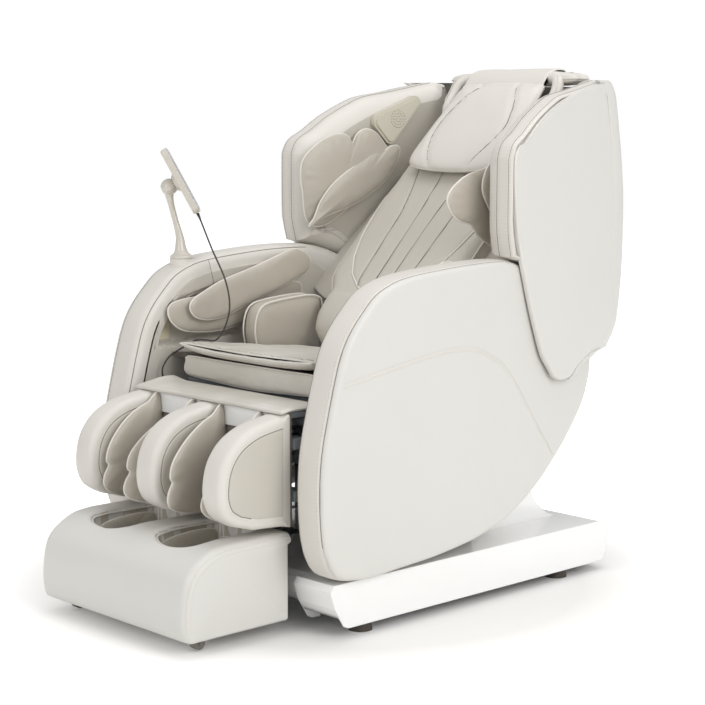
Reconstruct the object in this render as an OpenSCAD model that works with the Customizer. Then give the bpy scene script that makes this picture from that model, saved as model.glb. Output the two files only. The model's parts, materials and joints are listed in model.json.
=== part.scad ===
// Full-body massage chair: rocking seat unit on a low base, reclining cocoon back,
// lifting leg rest with sliding foot rest. Millimetres, +Z up, the sitter faces -Y.

/* [Overall] */
// Half the width over the side panels
half_w = 380; // [370:1:400]
// Height of the arm rest crest above the floor
arm_h = 757; // [735:1:775]
// Reach of the arm nose in front of the origin
arm_reach = 412; // [400:1:430]
// Height of the wings above the floor
back_h = 1151; // [1130:1:1190]
// Reach of the back shell behind the origin
back_reach = 668; // [655:1:690]

/* [Side shells] */
// Width of the rolled band along arm and wing
band_w = 90; // [80:1:94]
// Thickness of an outer skin
skin_t = 12; // [8:1:14]
// How far the wing skin stands proud of the side panel
leaf_proud = 4; // [3:1:8]
// Running gap between wing skin and side panel
leaf_gap = 3; // [3:0.5:6]
// Fillet radius of the rolled band
roll_r = 34; // [20:1:38]
// Corner radius of the shell behind
corner_r = 90; // [75:1:100]

/* [Pivots] */
// Recline pivot, distance behind the origin
recline_y = 110; // [100:1:120]
// Recline pivot, height
recline_z = 470; // [462:1:478]
// Rocking pivot, distance behind the origin
rock_y = 60; // [50:1:70]
// Rocking pivot, height
rock_z = 330; // [320:1:345]
// Knee pivot of the leg rest, distance in front of the origin
knee_y = 320; // [312:1:324]
// Knee pivot of the leg rest, height
knee_z = 440; // [436:1:446]
// Radius of the pivot pins
pin_r = 8; // [6:0.5:10]
// Running clearance round each pin
pin_gap = 0.3; // [0.2:0.05:0.5]

/* [Seat] */
// Half the width of the seat cushion
seat_half_w = 232; // [215:1:233]
// Height of the seat cushion at its front edge
seat_h = 562; // [556:1:570]
// Thickness of the seat cushion
seat_t = 30; // [24:1:34]
// Width of a hip pad
hip_w = 56; // [45:1:60]
// Thickness of the back pad
pad_t = 56; // [45:1:60]

/* [Leg and foot rest] */
// Width of the leg rest and foot rest
leg_w = 506; // [490:1:508]
// Width of a calf channel
calf_w = 158; // [145:1:165]
// Thickness of the leg rest's back plate
calf_plate_t = 12; // [8:1:16]
// Height of the foot rest's top
foot_h = 216; // [205:1:218]
// Clearance of the foot rest above the floor
foot_lift = 28; // [22:1:34]
// Width of a foot well
well_w = 172; // [150:1:180]
// Radius of the foot rest's casters
caster_r = 13; // [11:0.5:14]

/* [Base] */
// Half the width of the base cover
base_half_w = 354; // [345:1:358]
// Height of the base cover's deck
deck_h = 118; // [110:1:122]
// Wall of the base cover
cover_t = 4; // [3:0.5:6]
// Width of a base frame tube
tube_w = 30; // [25:1:35]
// Height of a base frame tube
tube_h = 40; // [35:1:45]
// Height of the rubber feet
foot_pad_h = 26; // [22:1:28]
// Radius of a transport wheel
wheel_r = 26; // [20:1:28]

/* [Massage mechanism] */
// Gauge between the guide rails
rail_gauge = 300; // [280:1:320]
// Travel of the carriage
carriage_travel = 360; // [300:10:360]
// Radius of a massage roller
roller_r = 24; // [20:1:26]

/* [Remote] */
// Length of the tablet
tablet_l = 165; // [150:1:180]
// Width of the tablet
tablet_w = 96; // [85:1:110]
// Thickness of the tablet
tablet_t = 15; // [12:1:18]
// Height of the stand from the arm to the ball
stand_h = 165; // [150:1:175]

/* [Hidden] */
$fn = 40;
eps = 0.3;

leather = "#e9e5de";
leather_white = "#f3f2ef";
pad_grey = "#b9b2a6";
gloss_white = "#f8f8f8";
steel = "#8d9298";
zinc = "#b9bdc2";
black = "#2c2c2e";
pearl = "#d9d4ca";

// ---- helpers ----------------------------------------------------------------------

// Smooth open curve through the points, with k steps in each span.
function spline(p, k) = [
    for (i = [0:len(p) - 2], s = [0:k - 1])
        let (a = p[max(i - 1, 0)], b = p[i], c = p[i + 1], d = p[min(i + 2, len(p) - 1)], t = s / k)
            0.5 * (2 * b + (c - a) * t + (2 * a - 5 * b + 4 * c - d) * t * t
                + (3 * b - a - 3 * c + d) * t * t * t),
    p[len(p) - 1]
];

function flip(p) = [for (i = [len(p) - 1:-1:0]) p[i]];

function middle(ring) = [for (p = ring) 1] * ring / len(ring);

// Faces that close one end of a loft, whose ring starts at point a: one flat face, a fan
// round the middle point c, or a zip between the ring's two long sides.
function end_faces(ends, n, a, c) = ends == "flat" ? [[for (j = [0:n - 1]) a + j]]
    : ends == "fan" ? [for (j = [0:n - 1]) [a + j, a + (j + 1) % n, c]]
    : [for (j = [0:n / 2 - 2])
        each [[a + j, a + j + 1, a + n - 1 - j], [a + j + 1, a + n - 2 - j, a + n - 1 - j]]];

// Closed skin over rings of equal length; turned outside out when needed.
module loft(rings, ends = "flat") {
    n = len(rings[0]);
    m = len(rings);
    middles = ends == "fan" ? [middle(rings[0]), middle(rings[m - 1])] : [];
    points = concat([for (r = rings) each r], middles);
    faces = concat(
        [for (i = [0:m - 2], j = [0:n - 1]) let (k = (j + 1) % n)
            each [[i * n + j, i * n + n + j, i * n + n + k], [i * n + j, i * n + n + k, i * n + k]]],
        end_faces(ends, n, 0, m * n),
        [for (f = end_faces(ends, n, (m - 1) * n, m * n + 1)) flip(f)]
    );
    volume = [for (f = faces) for (j = [1:len(f) - 2])
        points[f[0]] * cross(points[f[j]], points[f[j + 1]])];
    outward = volume * [for (v = volume) 1] < 0;
    polyhedron(points, outward ? faces : [for (f = faces) flip(f)], convexity = 8);
}

// A pair of pieces, one on each side of the middle plane.
module pair() {
    children();
    mirror([1, 0, 0]) children();
}

module side(right) {
    mirror([right ? 1 : 0, 0, 0]) children();
}

// Bar along X, centred on the middle plane.
module cross_bar(length, y, z, w, h) {
    translate([-length / 2, y - w / 2, z - h / 2]) cube([length, w, h]);
}

// Cylinder along X from x0 to x1.
module x_rod(r, x0, x1, y, z) {
    translate([x0, y, z]) rotate([0, 90, 0]) cylinder(h = x1 - x0, r = r);
}

// Side outline in (Y, Z), extruded along X from x0 to x1.
module side_plate(points, x0, x1) {
    translate([x0, 0, 0]) rotate([90, 0, 90]) linear_extrude(x1 - x0) polygon(points);
}

// Stadium bar between two points of a side view, extruded along X from x0 to x1.
module link_plate(a, b, r, x0, x1) {
    along = norm(b - a);
    turn = atan2(b[1] - a[1], b[0] - a[0]);
    translate([x0, 0, 0]) rotate([90, 0, 90]) linear_extrude(x1 - x0)
        translate(a) rotate(turn) {
            circle(r);
            translate([0, -r]) square([along, 2 * r]);
            translate([along, 0]) circle(r);
        }
}

// Padded form: a flat outline blown up on both faces, with its seam in the middle.
module puff(outline, thickness, crown = 0.5, levels = [0.35, 0.72, 0.93]) {
    c = middle(outline);
    side_rings = [for (s = levels) [s, thickness / 2 * pow(1 - pow(s, 3), crown)]];
    loft([
        for (r = concat(
            [for (q = side_rings) [q[0], -q[1]]],
            [[1, 0]],
            flip(side_rings)
        )) [for (p = outline) [c[0] + r[0] * (p[0] - c[0]), c[1] + r[0] * (p[1] - c[1]), r[1]]]
    ]);
}

// Outline through the points, closed and smooth.
function rounded(p, k) = let (n = len(p))
    [for (i = [0:n - 1], s = [0:k - 1])
        let (a = p[(i + n - 1) % n], b = p[i], c = p[(i + 1) % n], d = p[(i + 2) % n], t = s / k)
            0.5 * (2 * b + (c - a) * t + (2 * a - 5 * b + 4 * c - d) * t * t
                + (3 * b - a - 3 * c + d) * t * t * t)];

// Stands a flat form up in the side view at x, turned by yaw about the vertical.
module on_side(x, yaw = 0, y0 = 0) {
    translate([x, y0, 0]) rotate([0, 0, yaw]) translate([0, -y0, 0]) rotate([90, 0, 90]) children();
}

// ---- shared outlines ----------------------------------------------------------------

// Side panel and arm body: y, lowest z, highest z, how far the nose is drawn in.
arm_rear = recline_y + 38;
arm_r = arm_h - recline_z + 1;
arm_stations = [
    [-arm_reach, 285, 335, 26],
    [-arm_reach + 4, 228, 385, 14],
    [-arm_reach + 12, 188, 430, 6],
    [-arm_reach + 24, 160, arm_h - 279, 2],
    [-arm_reach + 38, 141, arm_h - 226, 0],
    [-arm_reach + 58, 130, arm_h - 164, 0],
    [-arm_reach + 84, 124, arm_h - 119, 0],
    [-arm_reach + 118, 120, arm_h - 81, 0],
    [-arm_reach + 155, 120, arm_h - 48, 0],
    [-210, 124, arm_h - 27, 0],
    [-160, 127, arm_h - 16, 0],
    [-80, 133, arm_h - 8, 0],
    [10, 145, arm_h - 2, 0],
    [90, 160, arm_h, 0],
    [arm_rear, 175, arm_h - 2, 0]
];
// Height of the side panel's hidden top behind the arm, inside the wing's sweep.
function tail_top(y) = max(
    recline_z + sqrt(max(arm_r * arm_r - (y - recline_y) * (y - recline_y), 0)),
    recline_z + 0.105 * (y - recline_y)
);
tail_floor = spline([[arm_rear, 175], [272, 227], [371, 293], [438, 351], [483, 402], [512, 470]], 4);
tail_y = [175, 215, 255, 295, 330, 360, 385, 410, 438, 465, 488, 505];

// Outer face of the wing skin, narrowing to the rear and a little more towards the top.
wing_y = arm_rear + 2;
function taper(z) = 0.15 + 0.03 * (z - 700) / 400;
function skin_x(y, z) = half_w + leaf_proud - taper(z) * (y - wing_y);
function panel_x(y) = y < 40 ? half_w
    : y < arm_rear ? half_w - (skin_t + leaf_gap - leaf_proud) * (y - 40) / (arm_rear - 40)
    : skin_x(y, 600) - skin_t - leaf_gap - 0.03 * (y - arm_rear);

// Rear of the back shell over the height.
rear_line = spline([
    [recline_z, back_reach - 82], [520, back_reach - 62], [563, back_reach - 42],
    [620, back_reach - 25], [700, back_reach - 10], [760, back_reach - 4],
    [830, back_reach], [896, back_reach], [back_h - 172, back_reach - 8],
    [back_h - 117, back_reach - 17], [back_h - 62, back_reach - 27],
    [back_h - 35, back_reach - 34], [back_h - 11, back_reach - 50], [back_h, back_reach - 72]
], 4);
function rear(z) = lookup(z, rear_line);
// Inner face of the wing skin, round its rear corner too, with the liner's clearance taken off.
liner_gap = 1.2;
function skin_inside(y, z) = let (corner_y = rear(z) - corner_r, r = corner_r - skin_t - liner_gap)
    y < corner_y ? skin_x(y, z) - skin_t - liner_gap
    : skin_x(corner_y, z) - corner_r + sqrt(max(r * r - pow(y - corner_y, 2), 0));

// Front edge of the wing skin: leaf, front, and the seam along the top.
leaf_line = [
    [recline_z, 340], [480, 316], [501, 297], [533, 269], [585, 244], [642, 220], [710, 195],
    [769, wing_y + 24], [822, wing_y + 11], [876, wing_y + 3], [930, wing_y - 1],
    [back_h - 171, wing_y], [back_h - 150, wing_y + 16], [back_h - 141, wing_y + 39],
    [back_h - 101, wing_y + 91], [back_h - 68, wing_y + 151], [back_h - 40, wing_y + 226],
    [back_h - 16, wing_y + 326], [back_h - 3, wing_y + 430]
];
// Where the skin's flat part ends and how far its rear corner has turned, below the full shell.
leaf_end = [[recline_z, 374], [480, 402], [500, 440], [520, 484], [540, back_reach]];
leaf_turn = [[recline_z, 5], [480, 8], [500, 16], [520, 40], [540, 70], [560, 90]];
seam_x = 220;

// Front edge of the padded wing over its rolled crest.
crest_line = [
    [arm_h + 5, wing_y + 2], [arm_h + 43, wing_y - 7], [arm_h + 80, wing_y - 11],
    [back_h - 190, wing_y - 11], [back_h - 171, wing_y - 9], [back_h - 148, wing_y + 2],
    [back_h - 133, wing_y + 20], [back_h - 121, wing_y + 42], [back_h - 87, wing_y + 91],
    [back_h - 56, wing_y + 151], [back_h - 39, wing_y + 195], [back_h - 26, wing_y + 271],
    [back_h - 11, wing_y + 350], [back_h - 2, wing_y + 398]
];
wing_r = arm_r + 4;
liner_z = concat(
    [for (i = [0:5]) mixed(recline_z + 192, arm_h + 4, sin(15 * i + 15))],
    [arm_h + 20, arm_h + 50, arm_h + 90, 900, back_h - 191, back_h - 171, back_h - 148, back_h - 133,
     back_h - 118, back_h - 87, back_h - 56, back_h - 39, back_h - 26, back_h - 11, back_h - 2]
);
function mixed(a, b, t) = a + (b - a) * t;
function liner_front(z) = z < arm_h + 5
    ? recline_y + sqrt(max(wing_r * wing_r - (z - recline_z) * (z - recline_z), 42 * 42))
    : lookup(z, crest_line);
function liner_back(z) = min(recline_y + (z - recline_z) / 0.839, rear(z) - corner_r * 0.75);

// Back pad frame: origin on its front face at the hip, leaning back by 45 degrees.
lean = 45;
hip = [3, seat_h + 13];
function at_back(t, d) = [hip[0] + (t + d) * cos(lean), hip[1] + (t - d) * sin(lean)];
module on_back() {
    translate([0, hip[0], hip[1]]) rotate([lean, 0, 0]) children();
}

// ---- seat unit: side shells -----------------------------------------------------------

// Rounded cross-section of the arm body at one station.
function arm_ring(y, z0, z1, inset) = let (
    x0 = half_w - band_w + inset,
    x1 = panel_x(y) - skin_t - eps - inset,
    r = min(roll_r, (x1 - x0) / 2 - 1, (z1 - z0) / 2 - 1),
    q = min(10, r)
) concat(
    [for (a = [180:-22.5:90]) [x0 + r + r * cos(a), y, z1 - r + r * sin(a)]],
    [for (a = [90:-22.5:0]) [x1 - r + r * cos(a), y, z1 - r + r * sin(a)]],
    [for (a = [0:-30:-90]) [x1 - q + q * cos(a), y, z0 + q + q * sin(a)]],
    [for (a = [-90:-30:-180]) [x0 + q + q * cos(a), y, z0 + q + q * sin(a)]]
);

module arm_rest(stand = false) {
    recess = [[-300, 606], [-286, 590], [30, 590], [44, 606], [44, 690], [30, 704], [-286, 690], [-300, 676]];
    color(leather) difference() {
        union() {
            loft(concat(
                [for (s = arm_stations) arm_ring(s[0], s[1], s[2], s[3])],
                [for (y = tail_y) arm_ring(y, lookup(y, tail_floor), tail_top(y), 0)],
                [arm_ring(512, lookup(512, tail_floor), tail_top(512), 0)]
            ));
            // Seat of the remote's stand
            if (stand) translate([-stand_at[0], stand_at[1], stand_z - 40]) cylinder(h = 40, r = stand_r + 1);
        }
        side_plate(recess, half_w - band_w - 1, half_w - band_w + 42);
    }
}

// Outer skin of the side panel: thin, with a rounded outer edge.
function panel_ring(y, z0, z1, inset) = let (x1 = panel_x(y) - inset, x0 = panel_x(y) - skin_t, r = skin_t - 2 - inset / 2)
    concat(
        [[x0, y, z0], [x0, y, z1]],
        [for (a = [90:-30:0]) [x1 - r + r * cos(a), y, z1 - r + r * sin(a)]],
        [for (a = [0:-45:-90]) [x1 - r + r * cos(a), y, z0 + r + r * sin(a)]]
    );

module side_panel() {
    color(leather_white) loft(concat(
        [for (i = [1:len(arm_stations) - 1]) let (s = arm_stations[i])
            panel_ring(s[0], s[1] + 2, s[2] - 3, max(8 - 4 * i, 0))],
        [for (y = tail_y) panel_ring(y, lookup(y, tail_floor) + 1, tail_top(y) - 2, 0)],
        [panel_ring(510, lookup(510, tail_floor) + 3, tail_top(510) - 4, 0)]
    ));
}

// Flat arm airbag that hangs under the arm, over the fuller one beside the seat.
module arm_airbags() {
    upper = rounded([[-246, 636], [-222, 656], [62, 748], [92, 746], [122, 722], [112, 694],
        [-140, 606], [-188, 600], [-232, 614]], 3);
    lower = rounded([[-282, 640], [-284, 604], [-240, 576], [-146, 569], [-60, 582], [96, 614],
        [116, 640], [96, 668], [-50, 652], [-200, 652]], 3);
    wall = half_w - band_w;
    color(pad_grey) {
        on_side(wall - 12 - eps) puff(lower, 24);
        on_side(wall - 36 - 2 * eps) puff(upper, 24, 0.35);
    }
}

// Box-shaped hip pad between the seat cushion and the arm.
module hip_pad() {
    outline = rounded([[-112, 560], [-108, 604], [-88, 630], [-40, 640], [50, 646], [88, 640],
        [100, 620], [100, board_line(100) + 24], [80, board_line(80) + 2], [-20, board_line(-20) + 1],
        [-92, board_line(-92) + 4]], 2);
    color(pad_grey) on_side(seat_half_w - hip_w / 2) puff(outline, hip_w, 0.22);
}

// ---- seat unit: seat ---------------------------------------------------------------

board_front = -272;
board_back = 80;
board_t = 9;
cushion_front = -300;
cushion_back = 30;

// Top of the seat cushion along its length, before crown and channels.
seat_line = spline([
    [cushion_front, seat_h + 3], [-280, seat_h - 2], [-220, seat_h - 8], [-120, seat_h - 15],
    [-40, seat_h - 22], [cushion_back, seat_h - 30]
], 4);
function seat_top(y) = lookup(y, seat_line);
function seat_under(y) = mixed(seat_h - seat_t, seat_h - seat_t - 29,
    (y - cushion_front) / (cushion_back - cushion_front));
// The cushion narrows behind its front flap to leave room for the hip pads.
function cushion_half(y) = lookup(y, [[-152, seat_half_w], [-138, seat_half_w - hip_w / 2 - 4],
    [-124, seat_half_w - hip_w - 2]]);

// Cushion section: crowned top with sewn channels, sides drawn in, corners turned up in front.
function cushion_ring(y) = let (
    e = (y - cushion_front) / (cushion_back - cushion_front),
    end = pow(max(1 - pow(abs(2 * e - 1), 8), 0), 0.5),
    w = cushion_half(y) - 8 * pow(abs(2 * e - 1), 4),
    mid = (seat_top(y) + seat_under(y)) / 2,
    half = (seat_top(y) - seat_under(y)) / 2 * (0.2 + 0.8 * end)
) concat(
    [for (i = [-12:12]) let (u = i / 12, x = w * sin(90 * u))
        [x, y, mid + half * pow(max(1 - pow(u, 8), 0), 0.5)
            + (e < 0.5 ? 9 * pow(abs(u), 3) * (1 - 2 * e) : 0) - 1.6 * end * pow(sin(u * 540), 8)]],
    [for (i = [11:-3:-11]) let (u = i / 12, x = w * sin(90 * u))
        [x, y, mid - half * pow(max(1 - pow(u, 8), 0), 0.5) + (e < 0.5 ? 9 * pow(abs(u), 3) * (1 - 2 * e) : 0)]]
);

module seat_cushion() {
    ys = [cushion_front, -297, -288, -270, -235, -195, -152, -138, -124, -90, -50, -10, 15, 27, cushion_back];
    color(leather) loft([for (y = ys) cushion_ring(y)]);
}

board_half_w = half_w - band_w - 2;
tube_z = 455;
tube_ys = [-230, 5, 300];
function board_line(y) = seat_under(y) - eps;
module seat_board() {
    color("#55524d") {
        side_plate([
            [board_front, board_line(board_front)], [board_front, board_line(board_front) - board_t],
            [board_back, board_line(board_back) - board_t], [board_back, board_line(board_back)]
        ], -board_half_w, board_half_w);
        for (y = [tube_ys[0], tube_ys[1]], x = [-150, 150])
            translate([x - 20, y - 12, tube_z + 15 + eps])
                cube([40, 24, board_line(y) - 6 - tube_z - 15 - eps]);
    }
}

// Soft front face under the cushion.
module seat_apron() {
    z1 = board_line(board_front) - 2;
    w = seat_half_w - 6;
    outline = rounded([[-w, z1 - 12], [-w + 12, z1], [-w / 2, z1], [0, z1], [w / 2, z1], [w - 12, z1],
        [w, z1 - 12], [w - 4, z1 - 40], [w / 2, z1 - 48], [0, z1 - 52], [-w / 2, z1 - 48], [-w + 4, z1 - 40]], 2);
    color(leather) translate([0, board_front - 8 - eps, 0]) rotate([90, 0, 0]) puff(outline, 16, 0.4);
}

// Seat frame: one drilled side plate each side, cross tubes, and the actuator brackets.
plate_x = 264;
plate_t = 12;
recline_lug_x = 0;
leg_lug_x = 60;
rock_lug_x = -60;
lug_t = 12;
eye_t = 10;
side_gap = 4;
function eye_x(lug) = lug > 0 || lug == 0 ? lug + lug_t / 2 + side_gap + eye_t / 2 : lug - lug_t / 2 - side_gap - eye_t / 2;
recline_anchor = [-200, 395];
leg_anchor = [20, 395];
rock_anchor = [-230, 100];
recline_pin = [recline_y, recline_z - 90];
leg_pin = [-knee_y + 60, knee_z - 70];
rock_pin = [rock_y - 150, rock_z - 40];
anchor_r = 6;

// Clevis: two cheeks and a pin that carry an actuator's rear eye.
module clevis(root, eye, x, cheek = 5) {
    for (s = [-1, 1])
        link_plate(root, eye, 11, x + s * (eye_t / 2 + 1 + cheek / 2) - cheek / 2,
            x + s * (eye_t / 2 + 1 + cheek / 2) + cheek / 2);
    x_rod(anchor_r, x - eye_t / 2 - cheek - 1, x + eye_t / 2 + cheek + 1, eye[0], eye[1]);
}

module seat_frame() {
    knee = [-knee_y, knee_z];
    recline = [recline_y, recline_z];
    rock = [rock_y, rock_z];
    color(steel) {
        pair() difference() {
            union() {
                link_plate(knee, recline, 20, plate_x, plate_x + plate_t);
                link_plate(recline, [330, recline_z], 16, plate_x, plate_x + plate_t);
                link_plate([rock_y, recline_z - 12], rock, 22, plate_x, plate_x + plate_t);
            }
            for (p = [knee, recline, rock])
                x_rod(pin_r + pin_gap, plate_x - 1, plate_x + plate_t + 1, p[0], p[1]);
        }
        for (y = tube_ys) cross_bar(2 * plate_x, y, tube_z, 30, 30);
        // Gland for the remote's cord
        translate([cord_end[0], cord_end[1], knee_z + 15]) cylinder(h = cord_end[2] - eps - knee_z - 15, r = 5);
        // Arm brackets
        pair() for (y = [-200, 250])
            translate([plate_x + plate_t, y - 20, 440])
                cube([half_w - band_w - plate_x - plate_t - eps, 40, 36]);
        clevis([-215, tube_z - 10], recline_anchor, eye_x(recline_lug_x));
        clevis([8, tube_z - 10], leg_anchor, eye_x(leg_lug_x));
        difference() {
            link_plate([0, tube_z - 12], rock_pin, 14, rock_lug_x - lug_t / 2, rock_lug_x + lug_t / 2);
            x_rod(anchor_r, rock_lug_x - lug_t, rock_lug_x + lug_t, rock_pin[0], rock_pin[1]);
        }
    }
}

// Air pump on a hanger under the cross tubes.
module air_pump() {
    pump = [120, 130, 58];
    hanger_w = 50;
    hanger_t = 4;
    color("#3a3c40") translate([-225, -190, 375]) {
        difference() {
            cube(pump);
            for (i = [0:5]) translate([14 + 17 * i, 12, -1]) cube([7, 106, 9]);
        }
        for (y = [30, 65, 100])
            translate([pump[0], y, 30]) rotate([0, 90, 0]) cylinder(h = 12, r = 6, $fn = 24);
    }
    color(steel) translate([-190, 0, 375 + pump[2] - eps]) {
        translate([0, tube_ys[0] - 15, 0]) cube([hanger_w, tube_ys[1] - tube_ys[0] + 30, hanger_t]);
        for (y = [tube_ys[0], tube_ys[1]])
            translate([0, y - 15, 0]) cube([hanger_w, 30, tube_z - 15 - 375 - pump[2]]);
    }
}

// ---- backrest ----------------------------------------------------------------------

// Plan of the wing skin at one height: along the side, round the rear corner, and back inside.
function skin_ring(z) = let (
    ys = min(rear(z) - corner_r, lookup(z, leaf_end)),
    yf = min(lookup(z, leaf_line), ys - 10),
    turn = lookup(z, leaf_turn),
    xs = skin_x(ys, z),
    path = function (r, dx) concat(
        [for (i = [0:7]) let (y = mixed(yf, ys, i / 8)) [skin_x(y, z) - dx, y, z]],
        [for (i = [0:5]) let (a = turn * i / 5) [xs - corner_r + r * cos(a), ys + r * sin(a), z]]
    ),
    last = [xs - corner_r, ys, z] + [cos(turn), sin(turn), 0] * corner_r,
    reach = turn < 90 ? [-0.5, 0.2, 0] : [seam_x - last[0], 0, 0]
) concat(path(corner_r, 0), [last + reach],
    [last + reach - [cos(turn), sin(turn), 0] * skin_t], flip(path(corner_r - skin_t, skin_t)));

module wing_skin() {
    zs = concat([for (z = [470, 480, 500, 520, 540, 560, 600, 650, 700, 760, 820, 880]) z + recline_z - 470],
        [for (d = [221, 171, 150, 130, 101, 68, 40, 24, 12]) back_h - d]);
    color(leather_white) loft([for (z = zs) skin_ring(z)], "zip");
}

// Plan of the padded wing at one height, with its rolled front.
function liner_ring(z) = let (
    y0 = liner_front(z), y1 = max(liner_back(z), y0 + 8),
    r = min(roll_r, (y1 - y0) / 2.1),
    inner = skin_x(y0 + r, z) - band_w,
    outer = skin_inside(y0 + r, z)
) concat(
    [for (i = [3:-1:1]) let (y = mixed(y0 + r, y1, i / 3)) [inner - taper(z) * (y - y0 - r), y, z]],
    [for (a = [180:22.5:270]) [inner + r + r * cos(a), y0 + r + r * sin(a), z]],
    [for (a = [270:22.5:360]) [outer - r + r * cos(a), y0 + r + r * sin(a), z]],
    [for (i = [1:3]) let (y = mixed(y0 + r, y1, i / 3)) [skin_inside(y, z), y, z]]
);

module wing_liner() {
    color(leather) loft([for (z = liner_z) liner_ring(z)], "zip");
}

// Inner face of the wing, where airbags and speakers sit, and how far it turns in at a height.
function wall_x(z) = skin_x(wing_y, z) - band_w;
function wall_yaw(z) = atan(taper(z));

module back_cover() {
    top = back_h - 15.5;
    zs = [for (i = [0:26]) mixed(recline_z + 12, top, i / 26)];
    profile = concat([for (z = zs) [rear(z), z]], [for (z = flip(zs)) [rear(z) - 10, z]]);
    color(leather_white) {
        side_plate(profile, -seam_x + eps, seam_x - eps);
        // Struts to the frame
        pair() {
            side_plate([
                [strut_y(strut_z - 10), strut_z - 10], [rear(strut_z) - 9, strut_z - 10],
                [rear(strut_z) - 9, strut_z + 10], [strut_y(strut_z + 10), strut_z + 10]
            ], tube_x + 3, tube_x + 22);
            translate([tube_x + 3, upper_tube[0] + 12.5 + eps, upper_tube[1] - 10])
                cube([19, rear(upper_tube[1]) - 9 - upper_tube[0] - 12.5 - eps, 20]);
        }
    }
}

strut_z = 760;
tube_x = 192;
rail_depth = pad_t + 12;
frame_depth = rail_depth + 24;
// Lower edge of the massage carriage at rest, and the end of its rails beyond its travel.
carriage_t = 134;
carriage_l = 200;
rail_start = 60;
rail_end = carriage_t + carriage_l + carriage_travel + 38;
tube_t = [110, rail_end - 12];
lower_tube = at_back(tube_t[0], frame_depth);
upper_tube = at_back(tube_t[1], frame_depth);
function strut_y(z) = lower_tube[0] + (z - lower_tube[1]) + 12.5 * sqrt(2) + 2 * eps;

// Backing boards between the back pad's edges and the wings.
module back_lining() {
    z = -pad_t - eps;
    color(leather) pair() on_back() translate([0, 0, z - 5]) linear_extrude(5) polygon([
        [160, 150], [wall_x(700) - 12, 165], [wall_x(700) - 7, 230], [wall_top - 2, 700], [160, 716]
    ]);
}

module back_frame() {
    arm_x = 252;
    color(steel) {
        // Hip plates with the pivot pins
        pair() {
            link_plate([recline_y, recline_z], lower_tube, 17, arm_x, arm_x + 7);
            x_rod(pin_r, arm_x + 6, plate_x + plate_t + 2, recline_y, recline_z);
        }
        x_rod(15, -arm_x, arm_x, recline_y, recline_z);
        difference() {
            link_plate([recline_y, recline_z], recline_pin, 14,
                recline_lug_x - lug_t / 2, recline_lug_x + lug_t / 2);
            x_rod(anchor_r, recline_lug_x - lug_t, recline_lug_x + lug_t, recline_pin[0], recline_pin[1]);
        }
        cross_bar(2 * arm_x + 4, lower_tube[0], lower_tube[1], 25, 25);
        cross_bar(2 * wall_top - 2 * eps, upper_tube[0], upper_tube[1], 25, 25);
        // Long tubes and guide rails
        pair() on_back() {
            translate([tube_x, tube_t[0], -frame_depth - 12.5]) cube([25, tube_t[1] - tube_t[0], 25]);
            translate([rail_gauge / 2 - 8, rail_start, -rail_depth - 12]) cube([16, rail_end - rail_start, 12]);
        }
    }
}
wall_top = skin_x(upper_tube[0] + 12.5, upper_tube[1]) - band_w;

// Back pad section: a proud middle panel with diagonal channels between two wings.
pad_l = 776;
pad_crown = 1;
function pad_half(t) = lookup(t, [[0, 122], [20, 146], [60, 160], [130, 166], [170, 196], [210, 206],
    [420, 206], [470, 198], [700, 192], [pad_l, 176]]);
function pad_ring(t) = let (
    e = t / pad_l,
    end = pow(max(1 - pow(abs(2 * e - 1), 14), 0), 0.5),
    w = pad_half(t),
    panel = mixed(0.56, 0.78, e),
    top = -pad_crown - 9 * (1 - end)
) concat(
    [for (i = [-14:14]) let (u = i / 14, x = w * sin(90 * u))
        [x, t, -pad_t + (pad_t + top) * (0.25 + 0.75 * end) * pow(max(1 - pow(u, 10), 0), 0.5)
            - 4 * end * pow(max(0, 1 - abs(abs(u) - panel) * 9), 2)
            - 2.2 * end * pow(sin(450 * u + 90), 12)]],
    [[0, t, -pad_t]]
);

module back_pad() {
    n = 15;
    ts = concat([0, 8, 20, 60, 110, 150, 175, 210], [for (i = [1:n - 7]) 210 + (pad_l - 240) * i / (n - 7)],
        [pad_l - 12, pad_l]);
    color(pad_grey) on_back() loft([for (t = ts) pad_ring(t)], "fan");
}

// Two petals on the wing's inner wall: a broad one behind and a leaf-shaped one over it.
module shoulder_airbags() {
    outer = rounded([[124, 884], [121, 950], [156, 992], [203, 1016], [255, 1014], [307, 1030],
        [342, 1018], [368, 988], [392, 964], [384, 932], [284, 862], [188, 802], [136, 814]], 2);
    inner = rounded([[121, 801], [139, 826], [157, 861], [193, 900], [244, 934], [318, 974], [371, 990],
        [403, 984], [371, 919], [318, 880], [259, 850], [171, 822]], 2);
    color(pad_grey) {
        on_side(wall_x(900) - 17 - eps, wall_yaw(1016), wing_y) puff(outer, 34, 0.45);
        on_side(wall_x(900) - 42, 5, wing_y) puff(inner, 24, 0.45);
    }
}

// Speaker pod: rounded triangle with a drilled grille.
module speaker() {
    corners = [[358, 1050, 22], [458, 1098, 17], [385, 1014, 18]];
    middle = [404, 1057];
    color("#cfcabb") on_side(wall_x(1050) - eps, wall_yaw(1126), wing_y) translate([0, 0, -16]) difference() {
        union() {
            linear_extrude(16) hull() for (c = corners) translate([c[0], c[1]]) circle(c[2], $fn = 32);
            translate([0, 0, -5]) linear_extrude(5)
                offset(delta = -6) hull() for (c = corners) translate([c[0], c[1]]) circle(c[2], $fn = 32);
        }
        for (ring = [1:3], k = [0:6 * ring - 1])
            translate([middle[0], middle[1], -6]) rotate(k * 60 / ring) translate([7 * ring, 0]) cylinder(h = 5, r = 1.3, $fn = 16);
    }
}

// Soft flap over the top of the back, between the wings.
flap_t = 38;
module head_flap() {
    outline = rounded([[-186, -112], [-196, -78], [-180, -40], [0, -34], [180, -40], [196, -78],
        [186, -112], [0, -120]], 3);
    color(leather) translate([0, back_reach, back_h + 3]) puff(outline, flap_t, 0.35);
}

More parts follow.
